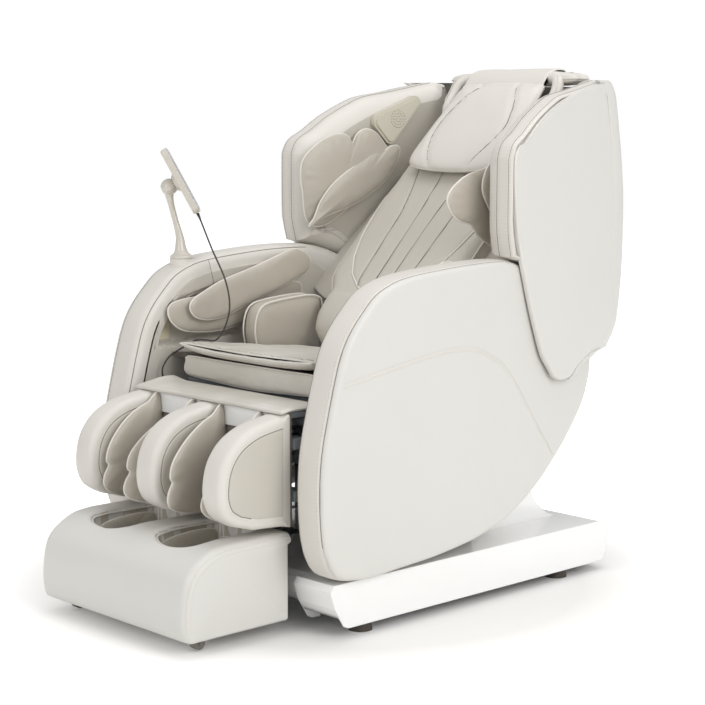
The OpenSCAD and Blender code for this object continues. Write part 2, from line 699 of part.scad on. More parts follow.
// Headrest pillow, hinged along its top edge.
pillow_l = 284;
pillow_t = 46;
pillow_w = 290;
pillow_low = 496;
pillow_axis = [back_reach - 123, back_h + 29];
strap_w = 200;
module pillow() {
    w = pillow_w / 2;
    outline = rounded([[-w, 30], [-w * 0.82, 4], [0, -8], [w * 0.82, 4], [w, 30], [w * 0.97, pillow_l * 0.55],
        [w * 0.88, pillow_l - 8], [0, pillow_l], [-w * 0.88, pillow_l - 8], [-w * 0.97, pillow_l * 0.55]], 3);
    top = at_back(pillow_low + pillow_l - 12, -pillow_t / 2);
    color(leather) {
        on_back() translate([0, pillow_low, pillow_t / 2 - pad_crown + eps]) puff(outline, pillow_t, 0.3);
        // Strap up to the hem that it folds about
        link_plate(top, pillow_axis, 1.5, -strap_w / 2, strap_w / 2);
        x_rod(3, -strap_w / 2, strap_w / 2, pillow_axis[0], pillow_axis[1]);
    }
}

// Carriage on the guide rails with the kneading shaft, two arm pairs and four rollers.
shaft_depth = rail_depth + 34;
roller_depth = pad_t + eps + roller_r;
roller_span = 96;
module massage_carriage() {
    gap = 0.5;
    half = rail_gauge / 2 - 8 - gap;
    plate_z = -shaft_depth - 31;
    color(zinc) on_back() difference() {
        union() {
            translate([-half + 16, carriage_t, plate_z]) cube([2 * half - 32, carriage_l, 5]);
            for (s = [-1, 1], t = [carriage_t + 20, carriage_t + 180])
                translate([s * half - (s > 0 ? 12 : 0), t - 14, plate_z]) cube([12, 28, -rail_depth + 2 - plate_z - 8]);
            for (s = [-1, 1]) translate([s * (half - 18) - 3, carriage_t + 84, plate_z]) cube([6, 32, 44]);
            for (s = [-1, 1]) translate([s * (half - 6) - 12, carriage_t, plate_z]) cube([24, carriage_l, 5]);
            translate([-38, carriage_t + 128, plate_z - 42]) cube([76, 60, 42]);
        }
        translate([-half, carriage_t + 100, -shaft_depth]) rotate([0, 90, 0]) cylinder(h = 2 * half, r = 8 + pin_gap);
    }
}

module kneading_shaft() {
    half = rail_gauge / 2 - 8;
    color(zinc) on_back() translate([0, carriage_t + 100, -shaft_depth]) rotate([0, 90, 0]) {
        translate([0, 0, -half + 10]) cylinder(h = 2 * half - 20, r = 8);
        for (s = [-1, 1]) translate([0, 0, s * roller_span / 2 - 7]) translate([4, 0, 0]) cylinder(h = 14, r = 15);
    }
}

arm_gap = 0.4;
module massage_arms() {
    up = [carriage_t + 170, -roller_depth];
    down = [carriage_t + 30, -roller_depth];
    mid = [carriage_t + 100, -shaft_depth];
    color("#4a4d52") on_back() for (s = [-1, 1]) difference() {
        union() {
            for (p = [up, down]) link_plate(mid, p, 9, s * roller_span / 2 - 6, s * roller_span / 2 + 6);
            x_rod(24, s * roller_span / 2 - 6, s * roller_span / 2 + 6, mid[0], mid[1]);
            for (p = [up, down]) x_rod(5, s * (roller_span / 2 + 17) - 22, s * (roller_span / 2 + 17) + 22, p[0], p[1]);
        }
        x_rod(19 + arm_gap, s * roller_span / 2 - 8, s * roller_span / 2 + 8, mid[0], mid[1]);
    }
}

module roller_set(t) {
    color("#d8d5cf") on_back() for (s = [-1, 1])
        translate([s * (roller_span / 2 + 24), t, -roller_depth]) rotate([0, 90, 0]) difference() {
            rotate_extrude() translate([roller_r - 10, 0]) union() {
                circle(10);
                translate([-roller_r + 10 + 5 + pin_gap, -10]) square([roller_r - 15 - pin_gap, 20]);
            }
            translate([0, 0, -15]) cylinder(h = 30, r = 5 + pin_gap);
        }
}

// ---- leg rest and foot rest ------------------------------------------------------------

calf_back = -388;
calf_profile = concat(
    [[calf_back, 228], [-480, 234]],
    spline([[-528, 248], [-560, 271], [-575, 314], [-566, 373], [-533, 419], [-480, 447], [-414, 460]], 3),
    [[calf_back, 464]]
);
leg_half = leg_w / 2;
wall_w = (leg_w - 2 * calf_w) / 3;
slide_x = 190;
slide_y = -358;

module calf_shell() {
    color(leather) {
        for (x = [-leg_half, -wall_w / 2, leg_half - wall_w]) side_plate(calf_profile, x, x + wall_w);
        translate([-leg_half, calf_back, 228]) cube([leg_w, calf_plate_t, 236]);
    }
}

// Airbags on both sides of each calf channel.
module calf_airbags() {
    outline = rounded([[-404, 250], [-500, 256], [-545, 286], [-556, 318], [-546, 368], [-510, 412],
        [-460, 436], [-404, 448]], 2);
    inner = wall_w / 2;
    color(pad_grey) for (x = [-leg_half + wall_w, -inner - 26, inner, leg_half - wall_w - 26])
        on_side(x + 13 + (x < -calf_w / 2 - 40 || (x > 0 && x < inner + 1) ? eps : -eps)) puff(outline, 26, 0.4);
}

// Leather bridge between seat and leg rest.
module knee_flap() {
    w = leg_half - 6;
    outline = rounded([[-w, -392], [-w, -330], [-w + 8, -304], [-w / 2, -300], [0, -300], [w / 2, -300],
        [w - 8, -304], [w, -330], [w, -392], [w - 10, -404], [w / 2, -406], [0, -406], [-w / 2, -406],
        [-w + 10, -404]], 2);
    color(leather) translate([0, 0, 466 + 5 + eps]) puff(outline, 10, 0.3);
}

module leg_frame() {
    knee = [-knee_y, knee_z];
    arm_x = 252;
    back_face = calf_back + calf_plate_t + eps;
    color(steel) {
        pair() {
            link_plate(knee, [-348, 300], 12, arm_x, arm_x + 7);
            x_rod(pin_r, arm_x + 6, plate_x + plate_t + 2, knee[0], knee[1]);
            difference() {
                translate([slide_x, slide_y, 240]) cylinder(h = 200, r = 12);
                translate([slide_x, slide_y, 239]) cylinder(h = 202, r = 7 + pin_gap);
            }
            translate([slide_x - 12, slide_y + 10, 428]) cube([24, -knee_y - slide_y - 10, 12]);
        }
        x_rod(13, -arm_x, arm_x, knee[0], knee[1]);
        difference() {
            for (z = [290, 400]) cross_bar(2 * arm_x + 4, (back_face - 345) / 2, z, -345 - back_face, 22);
            pair() translate([slide_x, slide_y, 200]) cylinder(h = 300, r = 7 + pin_gap);
        }
        // Bridge plate under the knee flap
        translate([-leg_half + 12, calf_back + calf_plate_t + eps, knee_z + 12.5]) cube([leg_w - 24, 72, 12]);
        difference() {
            link_plate(knee, leg_pin, 14, leg_lug_x - lug_t / 2, leg_lug_x + lug_t / 2);
            x_rod(anchor_r, leg_lug_x - lug_t, leg_lug_x + lug_t, leg_pin[0], leg_pin[1]);
        }
    }
}

foot_front = -back_reach;
foot_rear = -386;
well_x = 108;
foot_profile = concat(
    [[foot_rear, foot_lift + 6], [foot_rear - 6, foot_lift]],
    spline([[foot_front + 26, foot_lift + 2], [foot_front + 8, foot_lift + 12], [foot_front + 2, foot_lift + 48],
        [foot_front + 6, foot_lift + 98], [foot_front + 18, foot_h - 52], [foot_front + 44, foot_h - 26],
        [foot_front + 84, foot_h - 6], [foot_front + 130, foot_h]], 3),
    [[foot_rear, foot_h]]
);
caster_y = foot_front + 69;
caster_z = caster_r + 4;
module well(x, grow) {
    hull() for (sx = [-1, 1], y = [-586, -430])
        translate([x + sx * (well_w / 2 - 30), y, 92 - grow]) cylinder(h = 200, r = 30 + grow, $fn = 32);
}

module foot_rest() {
    color(leather) difference() {
        union() {
            side_plate(foot_profile, -leg_half, leg_half);
            // Bar behind the block that carries the slide rods
            translate([-slide_x - 15, foot_rear - 1, foot_h - 30])
                cube([2 * slide_x + 30, slide_y + 15 - foot_rear, 26]);
            pair() {
                translate([slide_x, slide_y, foot_h - 30]) cylinder(h = 210, r = 7);
                // Cheeks that hold the casters' axles
                for (x = [leg_half - 60, leg_half - 35])
                    link_plate([caster_y, foot_lift + 8], [caster_y, caster_z], 8, x, x + 5);
            }
        }
        for (x = [-well_x, well_x]) well(x, 0);
        // Roller bay between the wells, and its bores
        x_rod(27, -well_x - 60, well_x + 60, -508, 88);
        x_rod(6 + pin_gap, -leg_half + 14, leg_half - 14, -508, 88);
        pair() translate([leg_half - 55, caster_y - caster_r - 3, foot_lift - 1])
            cube([20, 2 * caster_r + 6, caster_z + caster_r + 3 - foot_lift]);
        x_rod(4 + pin_gap, -leg_half, leg_half, caster_y, caster_z);
    }
}

// Sole and instep pads round each foot well.
module foot_pads() {
    outline = rounded([[-70, -18], [-64, 8], [-30, 14], [30, 14], [64, 8], [70, -18], [50, -30], [-50, -30]], 1);
    color(pad_grey) for (x = [-well_x, well_x], s = [0, 1])
        translate([x, s > 0 ? -602.8 : -413.2, 150]) rotate([90, 0, s * 180]) translate([0, 0, -6.5])
            puff([for (p = outline) [p[0] * 0.9, p[1] * 1.7]], 13, 0.4);
}

module foot_roller() {
    color("#d0ccc4") {
        x_rod(6, -leg_half + 16, leg_half - 16, -508, 88);
        for (x = [-well_x, well_x], k = [-1:1]) translate([x + 34 * k, -508, 88]) rotate([0, 90, 0])
            rotate_extrude() translate([15, 0]) union() {
                circle(9);
                translate([-10, -9]) square([10, 18]);
            }
    }
}

module foot_casters() {
    color("#efefec") pair() {
        x_rod(caster_r, leg_half - 54, leg_half - 36, caster_y, caster_z);
        x_rod(4, leg_half - 59, leg_half - 31, caster_y, caster_z);
    }
}

// ---- base --------------------------------------------------------------------------------

tube_top = foot_pad_h + 4 + tube_h;
module base_frame() {
    z0 = foot_pad_h + 4;
    wheel_y = 462;
    color(steel) {
        pair() {
            translate([206 - tube_w / 2, -290, z0]) cube([tube_w, 740, tube_h]);
            difference() {
                union() {
                    translate([246, rock_y - 34, z0]) cube([16, 68, rock_z - z0]);
                    x_rod(34, 246, 262, rock_y, rock_z);
                }
                translate([245, rock_y - 18, 110]) cube([18, 36, rock_z - 170]);
            }
            x_rod(pin_r, 258, plate_x + plate_t + 2, rock_y, rock_z);
            translate([280, 387, z0]) cube([6, wheel_y + 12 - 387, 20]);
            x_rod(5, 284, 318, wheel_y, wheel_r + 3);
        }
        for (y = [-253, rock_y, 377]) cross_bar(2 * (base_half_w - cover_t - eps), y, z0 + tube_h / 2, tube_w, tube_h);
        clevis([-240, z0 + tube_h - 6], rock_anchor, eye_x(rock_lug_x));
    }
}

module base_feet() {
    color("#4c453e") pair() for (y = [-253, 377]) translate([base_half_w - 34, y, 0]) {
        cylinder(h = foot_pad_h, r1 = 26, r2 = 22);
        cylinder(h = foot_pad_h + 4 - eps, r = 9);
    }
}

// Side outline of the base cover; its front wall stands back by the given amount.
function tray(back) = [[-369 + back, deck_h - 14], [-356 + back, 67], [-330 + back, 26], [-318 + back, 21],
    [500, 21], [514, 28], [523, 54], [523, deck_h - 20], [509, deck_h - 6], [492, deck_h],
    [-360 + back, deck_h]];
function tray_inside(back) = [for (p = tray(back))
    [p[0] + (p[0] < 0 ? cover_t : -cover_t), p[1] < 60 ? p[1] - 10 : p[1] - cover_t]];
// The middle stands back behind the foot rest's slide.
recess_w = 240;
recess_d = 34;

module base_cover() {
    pillar_w = 236;
    pillar = concat(
        [[170, deck_h - 1], [196, 200], [214, 288]],
        spline([[338, 288], [352, 250], [372, 205], [402, 158], [440, 128], [476, deck_h - 1]], 3)
    );
    hollow = concat([[184, 60], [206, 200], [219, 296]],
        spline([[333, 296], [346, 250], [366, 205], [395, 158], [430, 130], [452, 60]], 3));
    color(gloss_white) difference() {
        union() {
            side_plate(tray(recess_d), -recess_w, recess_w);
            pair() side_plate(tray(0), recess_w, base_half_w);
            side_plate(pillar, -pillar_w, pillar_w);
        }
        side_plate(tray_inside(recess_d), -base_half_w + cover_t, base_half_w - cover_t);
        pair() side_plate(tray_inside(0), recess_w + cover_t, base_half_w - cover_t);
        side_plate(hollow, -pillar_w + cover_t, pillar_w - cover_t);
        // Slots for the rocking posts and the actuator
        pair() translate([242, rock_y - 42, 60]) cube([24, 84, 80]);
        translate([eye_x(rock_lug_x) - 34, -262, 60]) cube([68, 190, 80]);
        translate([-288, 500, 62]) cube([66, 40, 34]);
    }
}

module transport_wheels() {
    color("#6e6a66") pair() translate([290, 462, wheel_r + 3]) rotate([0, 90, 0]) difference() {
        union() {
            cylinder(h = 20, r = wheel_r);
            translate([0, 0, -2]) cylinder(h = 24, r = 11);
        }
        translate([0, 0, -4]) cylinder(h = 30, r = 5 + pin_gap);
    }
}

module control_box() {
    color("#b7babd") translate([-110, 236, tube_top - tube_h]) difference() {
        union() {
            cube([220, 88, 150]);
            // Flanges on the base frame's long tubes
            for (x = [-96, 219]) translate([x, 20, tube_h + eps]) cube([97, 40, 3]);
        }
        for (i = [0:9]) translate([20 + 19 * i, -1, 90]) cube([9, 5, 40]);
    }
}

module power_inlet() {
    color(black) difference() {
        union() {
            translate([-288 + eps, 502, 62 + eps]) cube([66 - 2 * eps, 23, 34 - 2 * eps]);
            translate([-292, 523 + eps, 58]) cube([74, 3, 42]);
        }
        translate([-280, 508, 69]) cube([24, 20, 19]);
        translate([-248, 508, 66]) cube([20, 20, 26]);
        x_rod(1.5 + 0.2, -250, -226, 518, 79);
    }
}

module power_switch() {
    color("#c62f2a") {
        side_plate([[510, 70], [510, 88], [527, 90], [524.5, 79], [527, 68]], -247.5, -228.5);
        x_rod(1.5, -249.6, -226.4, 518, 79);
    }
}

// ---- remote ---------------------------------------------------------------------------

stand_at = [-(half_w - band_w / 2), -205];
stand_r = 27;
stand_z = lookup(stand_at[1] + stand_r, [for (s = arm_stations) [s[0], s[2]]]) + 1;
ball_r = 20;
ball_at = [stand_at[0] - 19, stand_at[1] - 19, stand_z + stand_h];
module remote_stand() {
    stem = spline([[0, 0, 14, 13], [-2, -2, 36, 9], [-8, -8, 80, 7.5], [-15, -15, 120, 6.5],
        [-19, -19, stand_h - 8, 6]], 4);
    color(pearl) translate([stand_at[0], stand_at[1], stand_z]) {
        rotate_extrude() polygon([
            [0, eps], [stand_r, eps], [stand_r, 4], [stand_r - 4, 8], [15, 12], [12, 18], [0, 18]
        ]);
        loft([for (p = stem) [for (a = [0:30:330]) [p[0] + p[3] * cos(a), p[1] + p[3] * sin(a), p[2]]]]);
    }
    color(pearl) translate(ball_at) sphere(ball_r);
}

// Flat tablet with a socket over the stand's ball.
socket_gap = 0.4;
module remote_tablet() {
    back = ball_r + 2;
    edge_r = 16;
    color(pearl) translate(ball_at) rotate([0, 62, 51]) difference() {
        union() {
            translate([0, 0, back]) hull() for (x = [-1, 1], y = [-1, 1])
                translate([x * (tablet_l / 2 - edge_r), y * (tablet_w / 2 - edge_r), 0]) {
                    cylinder(h = tablet_t - 3, r = edge_r - 2, $fn = 32);
                    translate([0, 0, 3]) cylinder(h = tablet_t - 3, r = edge_r, $fn = 32);
                }
            translate([0, 0, ball_r - 6]) cylinder(h = back - ball_r + 7, r1 = 18, r2 = 25);
        }
        sphere(ball_r + socket_gap);
    }
}

cord_r = 2;
cord_route = [
    [-312, -174, 841], [-300, -175, 826], [-251, -182, 763], [-186, -196, 696], [-152, -212, 639],
    [-155, -226, 590], [-173, -236, 564], [-200, -243, 562], [-226, -250, 560], [-243, -262, 549],
    [-254, -278, 538], [-262, -296, 526], [-267, -309, 510], [-269, -316, 492], [-270, -312, 468]
];
cord_end = cord_route[len(cord_route) - 1];
// Tube swept along a smooth route.
module cord_tube(route, r, k, sides) {
    p = spline(route, k);
    n = len(p) - 1;
    loft([for (i = [0:n]) let (
        d = p[min(i + 1, n)] - p[max(i - 1, 0)], f = d / norm(d),
        u0 = cross(f, [0.9, 0.3, 0.2]), u = u0 / norm(u0), v = cross(f, u)
    ) [for (a = [0:360 / sides:359]) p[i] + r * (cos(a) * u + sin(a) * v)]]);
}
module remote_cord() {
    color(black) cord_tube(cord_route, cord_r, 5, 8);
}

// ---- actuators -------------------------------------------------------------------------

module at_actuator(a, b, x) {
    translate([x, a[0], a[1]]) rotate([-90 + atan2(b[1] - a[1], b[0] - a[0]), 0, 0]) children();
}

module actuator_motor(tube_l, flip_can) {
    color("#57595d") difference() {
        union() {
            translate([-eye_t / 2, 0, 0]) rotate([0, 90, 0]) cylinder(h = eye_t, r = 11);
            translate([-eye_t / 2, -11, 0]) cube([eye_t, 22, 18]);
            translate([0, 0, 16]) cylinder(h = tube_l - 16, r = 15);
            translate([-17, -17, 16]) cube([34, 34, 34]);
            translate([-17, flip_can * 33 - 17, 16]) cube([34, 34, 24]);
            translate([0, flip_can * 34, 30]) cylinder(h = 84, r = 17);
        }
        translate([-eye_t, 0, 0]) rotate([0, 90, 0]) cylinder(h = 2 * eye_t, r = anchor_r + pin_gap);
        translate([0, 0, 24]) cylinder(h = tube_l, r = 8 + pin_gap);
    }
}

module actuator_rod(start, full) {
    color("#c9ccd0") difference() {
        union() {
            translate([0, 0, start]) cylinder(h = full - start - 8, r = 8);
            translate([-eye_t / 2, 0, full]) rotate([0, 90, 0]) cylinder(h = eye_t, r = 12);
        }
        translate([-eye_t, 0, full]) rotate([0, 90, 0]) cylinder(h = 2 * eye_t, r = anchor_r);
    }
}

recline_l = norm(recline_pin - recline_anchor);
leg_l = norm(leg_pin - leg_anchor);
rock_l = norm(rock_pin - rock_anchor);

module recline_motor() { at_actuator(recline_anchor, recline_pin, eye_x(recline_lug_x)) actuator_motor(190, -1); }
module recline_rod() { at_actuator(recline_anchor, recline_pin, eye_x(recline_lug_x)) actuator_rod(90, recline_l); }
module leg_motor() { at_actuator(leg_anchor, leg_pin, eye_x(leg_lug_x)) actuator_motor(230, -1); }
module leg_rod() { at_actuator(leg_anchor, leg_pin, eye_x(leg_lug_x)) actuator_rod(32, leg_l); }
module rock_motor() { at_actuator(rock_anchor, rock_pin, eye_x(rock_lug_x)) actuator_motor(170, 1); }
module rock_rod() { at_actuator(rock_anchor, rock_pin, eye_x(rock_lug_x)) actuator_rod(60, rock_l); }

base_frame();
base_cover();
base_feet();
transport_wheels();
control_box();
power_inlet();
power_switch();
seat_frame();
side(false) side_panel();  // side_panel_left
side(true) side_panel();  // side_panel_right
side(false) arm_rest();  // arm_rest_left
side(true) arm_rest(stand = true);  // arm_rest_right
side(false) arm_airbags();  // arm_airbags_left
side(true) arm_airbags();  // arm_airbags_right
side(false) hip_pad();  // hip_pad_left
side(true) hip_pad();  // hip_pad_right
seat_board();
seat_cushion();
seat_apron();
air_pump();
back_frame();
back_cover();
side(false) wing_skin();  // wing_skin_left
side(true) wing_skin();  // wing_skin_right
side(false) wing_liner();  // wing_liner_left
side(true) wing_liner();  // wing_liner_right
back_lining();
back_pad();
side(false) shoulder_airbags();  // shoulder_airbags_left
side(true) shoulder_airbags();  // shoulder_airbags_right
side(false) speaker();  // speaker_left
side(true) speaker();  // speaker_right
head_flap();
pillow();
massage_carriage();
kneading_shaft();
massage_arms();
roller_set(carriage_t + 170);  // rollers_upper
roller_set(carriage_t + 30);  // rollers_lower
leg_frame();
calf_shell();
calf_airbags();
knee_flap();
foot_rest();
foot_pads();
foot_roller();
foot_casters();
remote_stand();
remote_tablet();
remote_cord();
recline_motor();
recline_rod();
leg_motor();
leg_rod();
rock_motor();
rock_rod();
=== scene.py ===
"""Full-body massage chair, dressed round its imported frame.

The seat unit rocks on a low base, the cocoon back reclines, and the leg rest lifts with
its sliding foot rest. Shapes are worked out in millimetres and stored in metres.
"""
import json
import math

import bmesh
import bpy
import numpy as np
from mathutils import Matrix, Vector
from mathutils.noise import noise

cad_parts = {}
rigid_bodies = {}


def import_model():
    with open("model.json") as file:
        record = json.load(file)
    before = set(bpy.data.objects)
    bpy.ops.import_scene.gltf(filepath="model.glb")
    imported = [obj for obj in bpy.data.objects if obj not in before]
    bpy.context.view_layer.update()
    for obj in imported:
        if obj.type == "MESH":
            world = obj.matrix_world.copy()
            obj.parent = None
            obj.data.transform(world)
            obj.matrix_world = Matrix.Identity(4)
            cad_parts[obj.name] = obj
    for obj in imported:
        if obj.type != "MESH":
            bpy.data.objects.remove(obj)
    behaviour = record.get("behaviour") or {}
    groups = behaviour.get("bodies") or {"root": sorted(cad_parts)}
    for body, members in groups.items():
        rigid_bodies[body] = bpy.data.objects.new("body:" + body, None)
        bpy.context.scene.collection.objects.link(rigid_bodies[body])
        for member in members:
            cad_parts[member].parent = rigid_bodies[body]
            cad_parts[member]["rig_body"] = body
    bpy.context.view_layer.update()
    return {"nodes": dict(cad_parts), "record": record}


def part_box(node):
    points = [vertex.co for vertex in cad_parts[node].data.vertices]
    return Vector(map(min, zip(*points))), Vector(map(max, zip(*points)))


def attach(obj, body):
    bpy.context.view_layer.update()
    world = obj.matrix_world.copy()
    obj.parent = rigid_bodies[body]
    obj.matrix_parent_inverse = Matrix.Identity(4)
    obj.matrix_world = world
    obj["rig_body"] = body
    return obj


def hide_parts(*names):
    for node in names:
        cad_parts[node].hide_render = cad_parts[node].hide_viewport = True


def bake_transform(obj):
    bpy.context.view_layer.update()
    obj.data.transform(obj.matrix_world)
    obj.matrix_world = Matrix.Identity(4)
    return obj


bl_info = {
    "name": "Massage Chair",
    "version": (1, 0, 0),
    "blender": (4, 5, 0),
    "location": "View3D > Sidebar > Massage Chair",
    "description": "Dresses the frame of a reclining massage chair",
    "category": "Add Mesh",
}

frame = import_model()

MM = 0.001

# ---- shared sizes of the chair, in millimetres -------------------------------------

HALF_W = 380.0
BAND_W = 90.0
SKIN_T = 12.0
LEAF_PROUD = 4.0
LEAF_GAP = 3.0
BACK_H = 1151.0
BACK_REACH = 668.0
CORNER_R = 90.0
RECLINE = (110.0, 470.0)
ARM_REAR = RECLINE[0] + 38
ARM_ARC = 288.0
WING_ARC = 292.0
WING_Y = ARM_REAR + 2
SEAT_HALF_W = 232.0
SEAT_H = 562.0
SEAT_T = 30.0
PAD_T = 56.0
PAD_L = 776.0
HIP = (3.0, 575.0)
LEG_HALF = 253.0
CALF_WALL = 63.33
FOOT_H = 216.0
WELL_X = 108.0


# ---- curves and forms ---------------------------------------------------------------

def spline(points, steps):
    """Smooth open curve through the points."""
    p = [np.array(q, float) for q in points]
    out = []
    for i in range(len(p) - 1):
        a, b, c, d = p[max(i - 1, 0)], p[i], p[i + 1], p[min(i + 2, len(p) - 1)]
        for s in range(steps):
            t = s / steps
            out.append(0.5 * (2 * b + (c - a) * t + (2 * a - 5 * b + 4 * c - d) * t ** 2
                              + (3 * b - a - 3 * c + d) * t ** 3))
    return out + [p[-1]]


def rounded(points, steps):
    """Smooth closed curve through the points."""
    n = len(points)
    p = [np.array(q, float) for q in points]
    out = []
    for i in range(n):
        a, b, c, d = p[i - 1], p[i], p[(i + 1) % n], p[(i + 2) % n]
        for s in range(steps):
            t = s / steps
            out.append(0.5 * (2 * b + (c - a) * t + (2 * a - 5 * b + 4 * c - d) * t ** 2
                              + (3 * b - a - 3 * c + d) * t ** 3))
    return out


def spaced(path, gap, closed=False):
    """The path again, with its points about that far apart."""
    p = np.array(path + [path[0]] if closed else path, float)
    step = np.linalg.norm(np.diff(p, axis=0), axis=1)
    along = np.concatenate([[0], np.cumsum(step)])
    count = max(2, int(round(along[-1] / gap)))
    at = np.linspace(0, along[-1], count + 1)
    if closed:
        at = at[:-1]
    return [np.array([np.interp(s, along, p[:, k]) for k in range(p.shape[1])]) for s in at]


def lookup(x, table):
    """Straight-line value of a table of pairs."""
    return float(np.interp(x, [r[0] for r in table], [r[1] for r in table]))


def mixed(a, b, t):
    """The value a share of the way from a to b."""
    return a + (b - a) * t


def smooth(t):
    """0 to 1 with a soft start and end."""
    t = min(1.0, max(0.0, t))
    return t * t * (3 - 2 * t)


def normals_2d(outline):
    """Unit normals to the left of a closed outline's direction."""
    p = np.array(outline, float)
    d = np.roll(p, -1, 0) - np.roll(p, 1, 0)
    d /= np.maximum(np.linalg.norm(d, axis=1), 1e-6)[:, None]
    return np.stack([-d[:, 1], d[:, 0]], 1)


def inward(outline):
    """Unit normals that point into a closed outline."""
    p = np.array(outline, float)
    q = np.roll(p, -1, 0)
    area = (p[:, 0] * q[:, 1] - q[:, 0] * p[:, 1]).sum()
    return normals_2d(outline) * (1 if area > 0 else -1)


def inset(outline, depth, share=None):
    """The outline drawn in by a depth, less where the share is below one."""
    n = inward(outline)
    s = np.ones(len(outline)) if share is None else np.array(share)
    return np.array(outline, float) + n * (depth * s)[:, None]


def span(outline, at, axis):
    """Lowest and highest place of a closed outline where one coordinate has a value."""
    p = np.array(outline, float)
    q = np.roll(p, -1, 0)
    a, b = p[:, axis], q[:, axis]
    hit = (a - at) * (b - at) <= 0
    t = (at - a[hit]) / np.where(np.abs(b[hit] - a[hit]) < 1e-9, 1, b[hit] - a[hit])
    v = p[hit, 1 - axis] + t * (q[hit, 1 - axis] - p[hit, 1 - axis])
    return (float(v.min()), float(v.max())) if len(v) else None


def gap_to(points, line, closed=True):
    """Distance of each 2-D point from a line."""
    p = np.array(points, float)
    a = np.array(line, float)
    b = np.roll(a, -1, 0)
    if not closed:
        a, b = a[:-1], b[:-1]
    best = np.full(len(p), 1e9)
    for i in range(len(a)):
        d = b[i] - a[i]
        t = np.clip(((p - a[i]) @ d) / max(d @ d, 1e-9), 0, 1)
        best = np.minimum(best, np.linalg.norm(p - a[i] - t[:, None] * d, axis=1))
    return best


def edge_steps(length, r, spacing):
    """Places from 0 to length, close together near both ends."""
    fine = [f * r for f in (0, 0.06, 0.18, 0.36, 0.6, 1.0)]
    if length < 2.2 * r:
        return [length * f for f in np.linspace(0, 1, 9)]
    inner = np.linspace(r, length - r, max(2, int((length - 2 * r) / spacing) + 1))
    return fine[:-1] + list(inner) + [length - f for f in fine[-2::-1]]


def rim(depth, r):
    """How far a rounded edge has dropped at a depth from the edge."""
    t = np.clip(depth, 0, r)
    return r - np.sqrt(np.maximum(r * r - (r - t) ** 2, 0))


def at_back(x, t, d):
    """Point of the leaning back: x across, t up the back, d towards the sitter."""
    c = math.sqrt(0.5)
    return (x, HIP[0] + (t - d) * c, HIP[1] + (t + d) * c)


